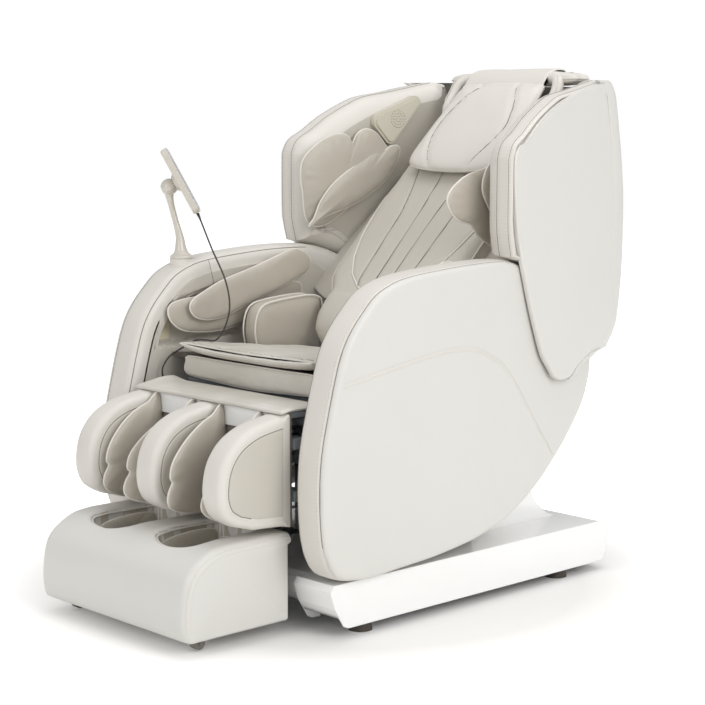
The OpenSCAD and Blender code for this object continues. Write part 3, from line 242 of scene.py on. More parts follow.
class Form:
    """Collects closed shapes in millimetres and makes one object of them."""

    def __init__(self):
        self.points, self.faces, self.finish = [], [], []

    def add(self, points, faces, finish=0):
        n = len(self.points)
        self.points += [tuple(float(c) for c in p) for p in points]
        self.faces += [[n + i for i in f] for f in faces]
        self.finish += [finish] * len(faces)

    def loft(self, rings, finish=0, closed=True, caps=True):
        """Skin over rings of equal length, with a fan at each end."""
        m, n = len(rings), len(rings[0])
        points = [q for r in rings for q in r]
        faces = []
        for i in range(m - 1):
            for j in range(n if closed else n - 1):
                k = (j + 1) % n
                faces.append([i * n + j, i * n + k, (i + 1) * n + k, (i + 1) * n + j])
        if caps:
            for i in (0, m - 1):
                c = len(points)
                points.append(np.mean(np.array(rings[i], float), axis=0))
                faces += [[i * n + j, i * n + (j + 1) % n, c] for j in range(n)]
        self.add(points, faces, finish)

    def ring_loft(self, rings, finish=0):
        """Skin over rings that close on themselves, as round a hole."""
        m, n = len(rings), len(rings[0])
        points = [q for r in rings for q in r]
        faces = [[i * n + j, i * n + (j + 1) % n, ((i + 1) % m) * n + (j + 1) % n, ((i + 1) % m) * n + j]
                 for i in range(m) for j in range(n)]
        self.add(points, faces, finish)

    def tube(self, path, radius, finish=0, sides=8, closed=False):
        """Round cord along a path; the radius may be a list."""
        p = [Vector(q) for q in path]
        n = len(p)
        radii = radius if hasattr(radius, "__len__") else [radius] * n
        rings, up = [], None
        for i in range(n):
            a, b = (p[i - 1], p[(i + 1) % n]) if closed else (p[max(i - 1, 0)], p[min(i + 1, n - 1)])
            f = (b - a).normalized()
            if up is None:
                up = f.orthogonal().normalized()
            up = (up - f * up.dot(f)).normalized()
            side = f.cross(up)
            rings.append([p[i] + (up * math.cos(a2) + side * math.sin(a2)) * radii[i]
                          for a2 in (2 * math.pi * k / sides for k in range(sides))])
        if closed:
            self.ring_loft(rings, finish)
        else:
            self.loft(rings, finish)

    def stitches(self, path, finish=0, pitch=8.0, length=5.2, r=0.75, closed=False):
        """Row of thread stitches along a path."""
        q = spaced([np.array(c, float) for c in path], pitch, closed)
        for i in range(len(q) - 1):
            d = q[i + 1] - q[i]
            size = np.linalg.norm(d)
            if size < 1e-6:
                continue
            a, b = q[i], q[i] + d * min(1, length / size)
            self.tube([a, mixed(a, b, 0.2), mixed(a, b, 0.8), b], [0.2 * r, r, r, 0.2 * r], finish, 4)

    def puff(self, outline, thickness, place, crown=0.5, levels=None, finish=0, dent=None, lip=0.0):
        """Padded form over a flat outline, with its seam in the middle."""
        levels = levels or [0.12, 0.3, 0.48, 0.64, 0.78, 0.88, 0.95, 0.985]
        c = np.mean(np.array(outline, float), axis=0)
        half = [(s, thickness / 2 * (1 - s ** 3) ** crown) for s in levels]
        rings = []
        for s, h in [(s, -h) for s, h in half] + [(1 + lip, 0)] + [(s, h) for s, h in reversed(half)]:
            ring = []
            for p in outline:
                q = c + s * (np.array(p, float) - c)
                z = h + (dent(q, s, h) if dent else 0)
                ring.append(place(q[0], q[1], z))
            rings.append(ring)
        self.loft(rings, finish)

    def make(self, name, finishes, body, replaces=(), mirror=False, sharp=38.0):
        mesh = bpy.data.meshes.new(name)
        sign = -1 if mirror else 1
        mesh.from_pydata([(sign * x * MM, y * MM, z * MM) for x, y, z in self.points], [], self.faces)
        for m in finishes:
            mesh.materials.append(m)
        mesh.polygons.foreach_set("material_index", self.finish)
        tidy = bmesh.new()
        tidy.from_mesh(mesh)
        bmesh.ops.remove_doubles(tidy, verts=tidy.verts, dist=2e-6)
        bmesh.ops.recalc_face_normals(tidy, faces=tidy.faces)
        tidy.to_mesh(mesh)
        tidy.free()
        mesh.shade_smooth()
        mesh.set_sharp_from_angle(angle=math.radians(sharp))
        piece = bpy.data.objects.new(name, mesh)
        bpy.context.scene.collection.objects.link(piece)
        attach(piece, body)
        if replaces:
            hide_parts(*([replaces] if isinstance(replaces, str) else replaces))
        return piece


# ---- materials ----------------------------------------------------------------------

def linear(colour):
    """Scene colour of an sRGB hex value."""
    colour = [int(colour[i:i + 2], 16) / 255 for i in (1, 3, 5)]
    return tuple(c / 12.92 if c <= 0.04045 else ((c + 0.055) / 1.055) ** 2.4 for c in colour) + (1.0,)


def add_node(tree, kind, settings=None, links=None):
    """A new node with its settings and its links; a socket is named or numbered."""
    n = tree.nodes.new(kind)
    for key, value in (settings or {}).items():
        if isinstance(key, int) or key in n.inputs:
            n.inputs[key].default_value = value
        else:
            setattr(n, key, value)
    for key, source in (links or {}).items():
        tree.links.new(source, n.inputs[key])
    return n


def new_material(name):
    """Empty material, its node tree and the place on the object."""
    material = bpy.data.materials.new(name)
    material.use_nodes = True
    tree = material.node_tree
    tree.nodes.clear()
    place = add_node(tree, "ShaderNodeTexCoord")
    return material, tree, place.outputs["Object"]


def finish_material(material, tree, settings, links):
    """Adds the surface shader and the output."""
    shader = add_node(tree, "ShaderNodeBsdfPrincipled", settings, links)
    add_node(tree, "ShaderNodeOutputMaterial", links={"Surface": shader.outputs[0]})
    return material


def leather(name, colour, shade, grain_mm, roughness, crease=0.25, sheen=0.0, soft_mm=70.0, soft=0.35):
    """Embossed polyurethane leather: a pebble grain pressed in by a roller over soft foam.

    The grain breaks the gloss up evenly, and the foam gives slow shallow swells."""
    material, tree, where = new_material(name)
    tone = add_node(tree, "ShaderNodeTexNoise", {"Scale": 4.0, "Detail": 3.0, "Roughness": 0.5}, {"Vector": where})
    ramp = add_node(tree, "ShaderNodeMapRange", {"From Min": 0.35, "From Max": 0.65}, {"Value": tone.outputs[0]})
    mix = add_node(tree, "ShaderNodeMix", {"data_type": "RGBA", 6: colour, 7: shade},
                   {0: ramp.outputs[0]})
    grain = add_node(tree, "ShaderNodeTexVoronoi", {"feature": "DISTANCE_TO_EDGE", "Scale": 1 / (grain_mm * MM)},
                     {"Vector": where})
    pores = add_node(tree, "ShaderNodeTexNoise", {"Scale": 2.2 / (grain_mm * MM), "Detail": 2.0},
                     {"Vector": where})
    swell = add_node(tree, "ShaderNodeTexNoise", {"Scale": 1 / (soft_mm * MM), "Detail": 1.0}, {"Vector": where})
    pull = add_node(tree, "ShaderNodeTexNoise",
                    {"Scale": 1 / (26 * MM), "Detail": 3.0, "Roughness": 0.55, "Distortion": 1.2},
                    {"Vector": where})
    b0 = add_node(tree, "ShaderNodeBump", {"Strength": soft, "Distance": 1.6 * MM}, {"Height": swell.outputs[0]})
    b1 = add_node(tree, "ShaderNodeBump", {"Strength": crease, "Distance": 0.8 * MM},
                  {"Height": pull.outputs[0], "Normal": b0.outputs[0]})
    b2 = add_node(tree, "ShaderNodeBump", {"Strength": 0.28, "Distance": 0.12 * MM},
                  {"Height": grain.outputs[0], "Normal": b1.outputs[0]})
    b3 = add_node(tree, "ShaderNodeBump", {"Strength": 0.2, "Distance": 0.08 * MM},
                  {"Height": pores.outputs[0], "Normal": b2.outputs[0]})
    dull = add_node(tree, "ShaderNodeMapRange", {"To Min": roughness - 0.05, "To Max": roughness + 0.07},
                    {"Value": pull.outputs[0]})
    return finish_material(material, tree, {"IOR": 1.5, "Sheen Weight": sheen, "Sheen Roughness": 0.5},
                           {"Base Color": mix.outputs[2], "Roughness": dull.outputs[0], "Normal": b3.outputs[0]})


def moulded(name, colour, shade, roughness, ior=1.5, texture_mm=1.2, depth_mm=0.04, coat=0.0, edge_mm=2.0,
            metallic=0.0):
    """Moulded or coated hard part: an even skin with a fine texture and slightly softened edges."""
    material, tree, where = new_material(name)
    tone = add_node(tree, "ShaderNodeTexNoise", {"Scale": 9.0, "Detail": 4.0}, {"Vector": where})
    mix = add_node(tree, "ShaderNodeMix", {"data_type": "RGBA", 6: colour, 7: shade},
                   {0: tone.outputs[0]})
    grit = add_node(tree, "ShaderNodeTexNoise", {"Scale": 1 / (texture_mm * MM), "Detail": 2.0}, {"Vector": where})
    edge = add_node(tree, "ShaderNodeBevel", {"samples": 4, "Radius": edge_mm * MM})
    bump = add_node(tree, "ShaderNodeBump", {"Strength": 0.5, "Distance": depth_mm * MM},
                    {"Height": grit.outputs[0], "Normal": edge.outputs[0]})
    dull = add_node(tree, "ShaderNodeMapRange",
                    {"To Min": max(roughness - 0.04, 0.02), "To Max": roughness + 0.05},
                    {"Value": tone.outputs[0]})
    settings = {"Metallic": metallic, "Coat Weight": coat, "Coat Roughness": 0.06}
    if metallic < 0.5:
        settings["IOR"] = ior
    return finish_material(material, tree, settings,
                           {"Base Color": mix.outputs[2], "Roughness": dull.outputs[0], "Normal": bump.outputs[0]})


def brushed(name, colour, shade, roughness, grain_mm=0.6, stretch=(1.0, 18.0, 18.0)):
    """Drawn or zinc-plated steel: fine lines along the part and cloudy plating."""
    material, tree, where = new_material(name)
    scaled = add_node(tree, "ShaderNodeMapping", {"Scale": stretch}, {"Vector": where})
    lines = add_node(tree, "ShaderNodeTexNoise", {"Scale": 0.05 / (grain_mm * MM), "Detail": 3.0},
                     {"Vector": scaled.outputs[0]})
    cloud = add_node(tree, "ShaderNodeTexNoise", {"Scale": 30.0, "Detail": 4.0}, {"Vector": where})
    mix = add_node(tree, "ShaderNodeMix", {"data_type": "RGBA", 6: colour, 7: shade},
                   {0: cloud.outputs[0]})
    edge = add_node(tree, "ShaderNodeBevel", {"samples": 4, "Radius": 0.8 * MM})
    bump = add_node(tree, "ShaderNodeBump", {"Strength": 0.3, "Distance": 0.03 * MM},
                    {"Height": lines.outputs[0], "Normal": edge.outputs[0]})
    dull = add_node(tree, "ShaderNodeMapRange", {"To Min": roughness - 0.08, "To Max": roughness + 0.1},
                    {"Value": lines.outputs[0]})
    return finish_material(material, tree, {"Metallic": 1.0},
                           {"Base Color": mix.outputs[2], "Roughness": dull.outputs[0], "Normal": bump.outputs[0]})


def plywood(name, colour, shade):
    """Birch plywood: long grain figure across the board and thin plies at its edge."""
    material, tree, where = new_material(name)
    scaled = add_node(tree, "ShaderNodeMapping", {"Scale": (6.0, 60.0, 60.0)}, {"Vector": where})
    figure = add_node(tree, "ShaderNodeTexNoise", {"Scale": 3.0, "Detail": 6.0, "Distortion": 0.6},
                      {"Vector": scaled.outputs[0]})
    mix = add_node(tree, "ShaderNodeMix", {"data_type": "RGBA", 6: colour, 7: shade},
                   {0: figure.outputs[0]})
    bump = add_node(tree, "ShaderNodeBump", {"Strength": 0.3, "Distance": 0.1 * MM}, {"Height": figure.outputs[0]})
    return finish_material(material, tree, {"Roughness": 0.6},
                           {"Base Color": mix.outputs[2], "Normal": bump.outputs[0]})


def knitted(name, colour, shade, thread_mm):
    """Knitted polyester: thread ribs, drawn coarser than real so that they show. It also makes the dark sheet that
    paints the shade at the back of the calf channels.
    """
    material, tree, where = new_material(name)
    ribs = add_node(tree, "ShaderNodeTexWave", {"Scale": 1 / (thread_mm * MM) / 6.2832, "Distortion": 0.4},
                    {"Vector": where})
    fuzz = add_node(tree, "ShaderNodeTexNoise", {"Scale": 400.0, "Detail": 2.0}, {"Vector": where})
    mix = add_node(tree, "ShaderNodeMix", {"data_type": "RGBA", 6: colour, 7: shade},
                   {0: fuzz.outputs[0]})
    bump = add_node(tree, "ShaderNodeBump", {"Strength": 0.5, "Distance": 0.3 * MM}, {"Height": ribs.outputs[0]})
    return finish_material(material, tree, {"Roughness": 0.85, "Sheen Weight": 0.4},
                           {"Base Color": mix.outputs[2], "Normal": bump.outputs[0]})


# ---- outlines of the side shells ----------------------------------------------------

def skin_taper(z):
    """How fast the shells close in towards the rear at a height."""
    return 0.15 + 0.03 * (z - 700) / 400


def skin_x(y, z):
    """Outer face of the wing's leather shell."""
    return HALF_W + LEAF_PROUD - skin_taper(z) * (y - WING_Y)


def panel_x(y):
    """Outer face of the side panel, which runs in under the wing's shell."""
    if y < 40:
        return HALF_W
    if y < ARM_REAR:
        return HALF_W - (SKIN_T + LEAF_GAP - LEAF_PROUD) * (y - 40) / (ARM_REAR - 40)
    return skin_x(y, 600) - SKIN_T - LEAF_GAP - 0.03 * (y - ARM_REAR)


REAR_LINE = spline([
    (470, 586), (520, 606), (563, 626), (620, 643), (700, 658), (760, 664), (830, 668), (896, 668),
    (979, 660), (1034, 651), (1089, 641), (1116, 634), (1140, 618), (1151, 596)], 6)


def rear(z):
    """Rear end of the side outline at a height."""
    return lookup(z, REAR_LINE)


def skin_inside(y, z):
    """Inner face of the wing's shell, round its rear corner too."""
    corner = rear(z) - CORNER_R
    r = CORNER_R - SKIN_T - 0.6
    if y < corner:
        return skin_x(y, z) - SKIN_T - 0.6
    return skin_x(corner, z) - CORNER_R + math.sqrt(max(r * r - (y - corner) ** 2, 0))


def tail_share(y, z):
    """How much of the arm band's depth is left towards its thin tail."""
    thick = lookup(y, [(397, 187), (450, 140), (483, 107), (500, 66), (512, 42)])
    return min(1.0, thick / 128)


def arm_outline():
    """Side outline of the arm and its panel."""
    top = [(ARM_REAR, 755.5), (90, 757), (10, 755), (-80, 749), (-160, 741), (-210, 730), (-257, 709),
           (-294, 676), (-328, 638), (-354, 593), (-374, 531), (-388, 478), (-400, 430), (-408, 385),
           (-412, 335), (-412, 285), (-408, 228), (-400, 188), (-388, 160), (-374, 141), (-354, 130),
           (-328, 124), (-294, 120), (-257, 120), (-210, 124), (-160, 127), (-80, 133), (10, 145),
           (90, 160), (ARM_REAR, 175), (272, 227), (371, 293), (438, 351), (483, 402), (508, 458)]
    arc = [(RECLINE[0] + ARM_ARC * math.sin(math.radians(a)), RECLINE[1] + ARM_ARC * math.cos(math.radians(a)))
           for a in range(83, 8, -4)]
    return spaced(list(spline(top, 8)) + [np.array(q, float) for q in [(512, 480), (512, 510), (450, 505)] + arc],
                  8.0, True)


CREST = [(152, 762), (143, 800), (139, 837), (139, 961), (141, 980), (152, 1003), (170, 1018), (192, 1030),
         (241, 1064), (301, 1095), (345, 1112), (421, 1125), (500, 1140), (548, 1149)]


def wing_outline():
    """Side outline of the wing's padding."""
    arc = [(RECLINE[0] + WING_ARC * math.sin(math.radians(a)), RECLINE[1] + WING_ARC * math.cos(math.radians(a)))
           for a in range(48, 9, -4)]
    back = [(562, 1146), (572, 1120), (576, 1089), (584, 1034), (592, 979), (600, 881), (470, 772), (340, 663)]
    return spaced([np.array(q, float) for q in arc] + list(spline(CREST, 8)) + [np.array(q, float) for q in back],
                  7.0, True)


def wing_share(y, z):
    """How much of the wing roll's depth is left along its outline."""
    if y > 540 or (z < 880 and y > RECLINE[0] + (z - 470) / 0.839 - 12):
        return 0.25
    return min(1.0, max(0.12, (z - 655) / 100))


LEAF_LINE = spline([
    (470, 340), (480, 316), (501, 297), (533, 269), (585, 244), (642, 220), (710, 195), (769, WING_Y + 24),
    (822, WING_Y + 11), (876, WING_Y + 3), (930, WING_Y - 1), (980, WING_Y), (1001, WING_Y + 16),
    (1010, WING_Y + 39), (1050, WING_Y + 91), (1083, WING_Y + 151), (1111, WING_Y + 226),
    (1135, WING_Y + 326), (1148, WING_Y + 430)], 6)
LEAF_END = [(470, 374), (480, 402), (500, 440), (520, 484), (540, BACK_REACH)]
LEAF_TURN = [(470, 5), (480, 8), (500, 16), (520, 40), (540, 70), (560, 90)]


def swept_band(form, outline, profile, x_of, share_of, finish=0):
    """Sweeps a profile of (offset from the outer face, depth) round an outline."""
    n = inward(outline)
    rings = []
    for p, m in zip(outline, n):
        s = share_of(p[0], p[1])
        ring = []
        for offset, depth in profile:
            y, z = p[0] + m[0] * depth * s, p[1] + m[1] * depth * s
            ring.append((x_of(y, z) - offset, y, z))
        rings.append(ring)
    form.ring_loft(rings, finish)


def band_line(outline, offset, depth, x_of, share_of, keep):
    """The line that one point of the profile draws, where keep(y, z) allows."""
    n = inward(outline)
    line = []
    for p, m in zip(outline, n):
        if keep(p[0], p[1]):
            s = share_of(p[0], p[1])
            y, z = p[0] + m[0] * depth * s, p[1] + m[1] * depth * s
            line.append((x_of(y, z) - offset, y, z))
    return line


def in_order(line):
    """Turns a line that was cut from a closed loop so that it has no jump."""
    gaps = [math.dist(line[i], line[i - 1]) for i in range(len(line))]
    start = int(np.argmax(gaps))
    return line[start:] + line[:start] if gaps[start] > 40 else line


BAND_PROFILE = [(84, 60), (90, 40), (90, 30)] + \
    [(90 - 24 + 24 * math.cos(math.radians(a)), 24 - 24 * math.sin(math.radians(a))) for a in range(0, 91, 15)] + \
    [(40, -0.6), (26, 0.0), (19, 0.8), (15, 2.4), (13, 5.0), (12.6, 9), (12.6, 30), (20, 60)]


def wall_sheet(form, edge, axis, places, x_of, thick, spacing=14.0, finish=0, relief=None):
    """Flat padded wall inside an edge: front by x_of, back that much further out."""
    rings = []
    for v in places:
        ends = span(edge, v, axis)
        if ends is None or ends[1] - ends[0] < 1.0:
            continue
        steps = [ends[0] + s for s in np.linspace(0, ends[1] - ends[0], 2 + int(720 / spacing))]
        pts = [(v, s) if axis == 0 else (s, v) for s in steps]
        front = [(x_of(y, z) + (relief(y, z) if relief else 0), y, z) for y, z in pts]
        back = [(x_of(y, z) + thick, y, z) for y, z in reversed(pts)]
        rings.append(front + back)
    form.loft(rings, finish)


class ChairColours(bpy.types.PropertyGroup):
    """Colours of the chair's finishes."""

    outer: bpy.props.FloatVectorProperty(
        name="Outer leather", description="Smooth leather of the side panels and wings",
        subtype="COLOR", size=3, min=0, max=1, default=linear("#DCDAD5")[:3])
    band: bpy.props.FloatVectorProperty(
        name="Band leather", description="Leather of the rolled bands, pillow and seat",
        subtype="COLOR", size=3, min=0, max=1, default=linear("#DEDAD3")[:3])
    wall: bpy.props.FloatVectorProperty(
        name="Lining leather", description="Leather of the inner walls",
        subtype="COLOR", size=3, min=0, max=1, default=linear("#C9C4BA")[:3])
    airbag: bpy.props.FloatVectorProperty(
        name="Airbag leather", description="Soft leather of the airbags and pads",
        subtype="COLOR", size=3, min=0, max=1, default=linear("#BDB6AA")[:3])
    piping: bpy.props.FloatVectorProperty(
        name="Piping", description="Light piping round the airbags",
        subtype="COLOR", size=3, min=0, max=1, default=linear("#E2DED6")[:3])
    thread: bpy.props.FloatVectorProperty(
        name="Thread", description="Polyester sewing thread",
        subtype="COLOR", size=3, min=0, max=1, default=linear("#D5D0C6")[:3])
    base: bpy.props.FloatVectorProperty(
        name="Base cover", description="Gloss white moulding of the base",
        subtype="COLOR", size=3, min=0, max=1, default=linear("#FAFAF9")[:3])
    remote: bpy.props.FloatVectorProperty(
        name="Remote", description="Pearl lacquer of the remote and its stand",
        subtype="COLOR", size=3, min=0, max=1, default=linear("#D6D0C5")[:3])


class ChairSizes(bpy.types.PropertyGroup):
    """Sizes of the chair's trim."""

    piping_radius: bpy.props.FloatProperty(
        name="Piping radius", description="Radius of the piping round airbags and panels",
        default=0.0022, min=0.001, max=0.004, unit="LENGTH")
    stitch_pitch: bpy.props.FloatProperty(
        name="Stitch pitch", description="Distance from stitch to stitch, drawn coarser than real",
        default=0.008, min=0.004, max=0.015, unit="LENGTH")
    cord_radius: bpy.props.FloatProperty(
        name="Cord radius", description="Radius of the remote's cord",
        default=0.002, min=0.0015, max=0.003, unit="LENGTH")
    pillow_thickness: bpy.props.FloatProperty(
        name="Pillow thickness", description="Thickness of the headrest pillow",
        default=0.046, min=0.03, max=0.06, unit="LENGTH")


FINISH = {}


def darker(colour, share):
    """The colour at a share of its light."""
    return tuple(c * share for c in colour[:3]) + (1.0,)


def full(colour):
    """The colour with its alpha."""
    return tuple(colour[:3]) + (1.0,)


def make_finishes(c):
    """All materials of the chair, each named for what it is."""
    FINISH.update(
        outer=leather("PU leather smooth ivory, calendered", full(c.outer), darker(c.outer, 0.985), 2.4, 0.42,
                      0.05, soft_mm=160, soft=0.12),
        band=leather("PU leather ivory, embossed", full(c.band), darker(c.band, 0.97), 2.4, 0.45, 0.12, soft=0.3),
        wall=leather("PU leather lining, embossed", full(c.wall), darker(c.wall, 0.96), 2.2, 0.48, 0.2, soft=0.5),
        seat=leather("PU leather seat, soft tumbled", full(c.band), darker(c.wall, 0.97), 2.6, 0.44, 0.5,
                     soft_mm=50, soft=0.6),
        airbag=leather("PU leather airbag, soft coated fabric", full(c.airbag), darker(c.airbag, 0.93), 2.0, 0.4,
                       0.55, sheen=0.05, soft_mm=45, soft=0.7),
        piping=leather("PU piping over a cord, folded", full(c.piping), darker(c.piping, 0.96), 1.8, 0.45, 0.1,
                       soft_mm=20, soft=0.2),
        # seam: the lining leather at under half its light, which paints the shade in sewn grooves and creases; the
        # zip's teeth use it too
        seam=leather("PU leather groove, painted shade", darker(c.wall, 0.46), darker(c.wall, 0.4), 2.0,
                     0.65, 0.1),
        thread=knitted("Polyester thread, twisted", full(c.thread), darker(c.thread, 0.85), 1.0),
        # lining: the airbag leather at under half its light, a dark sheet that paints the shade at the back of the
        # calf channels
        lining=knitted("Knitted sheet, painted channel shade", darker(c.airbag, 0.42), darker(c.airbag, 0.33), 3.0),
        base=moulded("ABS gloss white, injection moulded", full(c.base), darker(c.base, 0.985), 0.12, coat=0.5,
                     depth_mm=0.01, edge_mm=3.0),
        pearl=moulded("ABS pearl lacquer, sprayed and clear coated", full(c.remote), darker(c.remote, 0.9), 0.2,
                      coat=0.7, depth_mm=0.004, edge_mm=1.0, texture_mm=4.0),
        beige=moulded("ABS beige, moulded satin", linear("#CFCBBC"), linear("#C8C3B3"), 0.38, edge_mm=1.2),
        rubber=moulded("EPDM rubber, moulded", linear("#4A433C"), linear("#423C36"), 0.7, depth_mm=0.08),
        black=moulded("Glass-filled nylon black, moulded", linear("#2C2C2E"), linear("#323234"), 0.5,
                      depth_mm=0.06),
        red=moulded("Polycarbonate red, moulded", linear("#C23A30"), linear("#B4332A"), 0.25, edge_mm=0.6),
        nylon=moulded("Nylon off-white, moulded", linear("#D9D6CF"), linear("#CFCBC3"), 0.4, depth_mm=0.03),
        wheel=moulded("Polyurethane tyre grey, cast", linear("#807B74"), linear("#76716B"), 0.55, depth_mm=0.06),
        cord=moulded("PVC cord dark grey, extruded", linear("#3C3A38"), linear("#343230"), 0.42, depth_mm=0.03,
                     edge_mm=0.3),
        glass=moulded("Toughened glass over a dark display", linear("#191A1C"), linear("#1D1E21"), 0.06,
                      ior=1.52, coat=1.0, depth_mm=0.002, edge_mm=0.6),
        steel=moulded("Steel tube, grey powder coat", linear("#8B9096"), linear("#84898F"), 0.5, texture_mm=1.6,
                      depth_mm=0.08, edge_mm=1.5),
        case=moulded("Steel case, light grey enamel", linear("#B9BCBF"), linear("#B0B4B8"), 0.4, depth_mm=0.05),
        casting=moulded("Aluminium casting, dark enamel", linear("#55575B"), linear("#4C4E52"), 0.45,
                        depth_mm=0.1, edge_mm=1.2),
        zinc=brushed("Steel plate, zinc plated", linear("#B9BCC0"), linear("#A9ADB2"), 0.35),
        chrome=brushed("Steel rod, hard chromed", linear("#D0D2D5"), linear("#C8CACE"), 0.14),
        board=plywood("Birch plywood board, stained dark", linear("#5E5850"), linear("#4C4740")),
        label=moulded("Polyester plate, plain pale yellow", linear("#DDD6BC"), linear("#D8D1B5"), 0.5,
                      edge_mm=0.3),
    )


def sizes():
    return bpy.context.scene.chair_sizes


def pipe_r():
    """Radius of the piping in millimetres."""
    return sizes().piping_radius / MM


def pitch():
    """Stitch pitch in millimetres."""
    return sizes().stitch_pitch / MM


# ---- the remote's cord --------------------------------------------------------------

CORD_ROUTE = [
    (-312, -174, 841), (-300, -175, 826), (-251, -182, 763), (-186, -196, 696), (-152, -212, 639),
    (-155, -226, 590), (-173, -236, 564), (-200, -243, 562), (-226, -250, 560), (-243, -262, 549),
    (-254, -278, 538), (-262, -296, 526), (-267, -309, 510), (-269, -316, 492), (-270, -312, 468)]


class CHAIR_OT_remote_cord(bpy.types.Operator):
    """Cord from the remote down into the seat's side"""

    bl_idname = "chair.remote_cord"
    bl_label = "Remote cord"

    def execute(self, context):
        path = [Vector(p) for p in spline(CORD_ROUTE, 6)]
        r = sizes().cord_radius / MM
        form = Form()
        form.tube(path, r, 0, 12)
        cord = form.make("remote_cord_pvc", [FINISH["cord"]], "seat_unit", "remote_cord")
        line = [tuple(c * MM for c in p) for p in path]
        length = sum(math.dist(a, b) for a, b in zip(line, line[1:]))
        cord.parent = None
        cord.matrix_world = Matrix.Identity(4)
        del cord["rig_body"]
        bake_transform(cord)
        relief = Form()
        relief.tube([path[0], path[2], path[4], path[6]], [3.6, 3.4, 2.8, 2.2], 0, 14)
        ring = relief.make("cord_relief", [FINISH["cord"]], "tablet")
        return {"FINISHED"}


# ---- stage --------------------------------------------------------------------------

def shadow_floor():
    """Pale floor that the eye sees near white and that keeps the chair's real soft shadow; its glow fades out near
    the chair, which paints a darker disc round it.
    """
    material, tree, _ = new_material("Painted studio floor, matt white")
    rays = add_node(tree, "ShaderNodeLightPath")
    seen = add_node(tree, "ShaderNodeMath", {"operation": "MAXIMUM"},
                    {0: rays.outputs["Is Camera Ray"], 1: rays.outputs["Is Glossy Ray"]})
    paint = add_node(tree, "ShaderNodeBsdfDiffuse", {"Color": linear("#F2F1EF")})
    place = add_node(tree, "ShaderNodeTexCoord")
    away = add_node(tree, "ShaderNodeVectorMath", {"operation": "LENGTH"}, {0: place.outputs["Object"]})
    # painted shadow: the glow is nearly off within 0.55 m of the middle and full beyond 1.05 m, so the floor round
    # the chair shows darker
    glow_off_near_chair = add_node(tree, "ShaderNodeMapRange", {"From Min": 0.55, "From Max": 1.05, "To Min": 0.02,
                                                 "To Max": 0.7},
                    {"Value": away.outputs["Value"]})
    lift = add_node(tree, "ShaderNodeEmission", {"Color": (1, 1, 1, 1)}, {"Strength": glow_off_near_chair.outputs[0]})
    both = add_node(tree, "ShaderNodeAddShader", links={0: paint.outputs[0], 1: lift.outputs[0]})
    mix = add_node(tree, "ShaderNodeMixShader",
                   links={0: seen.outputs[0], 1: paint.outputs[0], 2: both.outputs[0]})
    add_node(tree, "ShaderNodeOutputMaterial", links={"Surface": mix.outputs[0]})
    return material


CAMERA_AT = (2.967, -2.765, 1.082)
CAMERA_TURN, CAMERA_DROP = 46.75, 7.745
FLOOR_R = 14


class CHAIR_OT_stage(bpy.types.Operator):
    """Floor, soft studio light and camera"""

    bl_idname = "chair.stage"
    bl_label = "Stage"

    def execute(self, context):
        scene = context.scene
        scene.view_settings.view_transform = "Standard"
        lens = bpy.data.cameras.new("studio_camera")
        lens.lens = 91.4
        lens.sensor_width = 36.0
        camera = bpy.data.objects.new("studio_camera", lens)
        camera.location = CAMERA_AT
        camera.rotation_euler = (math.radians(90 - CAMERA_DROP), 0, math.radians(CAMERA_TURN))
        scene.collection.objects.link(camera)
        scene.camera = camera

        mesh = bpy.data.meshes.new("studio_floor")
        ring = [(FLOOR_R * math.cos(a), FLOOR_R * math.sin(a),
                 0) for a in (2 * math.pi * k / 64 for k in range(64))]
        mesh.from_pydata(ring, [], [list(range(64))])
        mesh.materials.append(shadow_floor())
        floor = bpy.data.objects.new("studio_floor", mesh)
        scene.collection.objects.link(floor)

        world = bpy.data.worlds.new("studio")
        scene.world = world
        world.use_nodes = True
        tree = world.node_tree
        tree.nodes.clear()
        rays = add_node(tree, "ShaderNodeLightPath")
        seen = add_node(tree, "ShaderNodeMath", {"operation": "MAXIMUM"},
                        {0: rays.outputs["Is Camera Ray"], 1: rays.outputs["Is Transmission Ray"]})
        sky = add_node(tree, "ShaderNodeBackground", {"Color": (1.0, 1.0, 1.0, 1), "Strength": 0.62})
        white = add_node(tree, "ShaderNodeBackground", {"Color": (1, 1, 1, 1), "Strength": 1.0})
        mix = add_node(tree, "ShaderNodeMixShader", links={0: seen.outputs[0], 1: sky.outputs[0],
                                                           2: white.outputs[0]})
        add_node(tree, "ShaderNodeOutputWorld", links={"Surface": mix.outputs[0]})

        for name, place, aim, size, power in (
                ("key_softbox", (4.2, -0.4, 2.6), (0, 0, 0.6), 2.6, 72),
                ("front_softbox", (0.6, -4.6, 2.4), (0, 0, 0.5), 2.8, 33),
                ("top_softbox", (0.2, 0.4, 4.2), (0, 0.1, 0.6), 3.0, 39)):
            lamp = bpy.data.lights.new(name, "AREA")
            lamp.shape = "DISK"
            lamp.size = size
            lamp.energy = power
            holder = bpy.data.objects.new(name, lamp)
            holder.location = place
            holder.rotation_euler = (Vector(aim) - Vector(place)).to_track_quat("-Z", "Y").to_euler()
            scene.collection.objects.link(holder)
        return {"FINISHED"}


# ---- side shells --------------------------------------------------------------------

SIDES = (("left", False), ("right", True))


def inside(y, z, polygon):
    """Whether a point lies in a polygon."""
    hit = False
    n = len(polygon)
    for i in range(n):
        (y0, z0), (y1, z1) = polygon[i - 1], polygon[i]
        if (z0 > z) != (z1 > z) and y < (y1 - y0) * (z - z0) / (z1 - z0) + y0:
            hit = not hit
    return hit


def pocket(y, z, polygon, edge):
    """0 outside a polygon, rising to 1 over a soft edge inside it."""
    if not inside(y, z, polygon):
        return 0.0
    return smooth(float(gap_to([(y, z)], polygon)[0]) / edge)


ARM_POCKET = [(-318, 546), (-298, 622), (-262, 640), (-120, 676), (30, 704), (48, 690), (48, 590), (20, 560),
              (-247, 543)]
ARM_FOLD = [(-262, 646), (-238, 652), (-99, 685), (35, 724), (92, 742), (140, 790), (-300, 790), (-300, 690)]


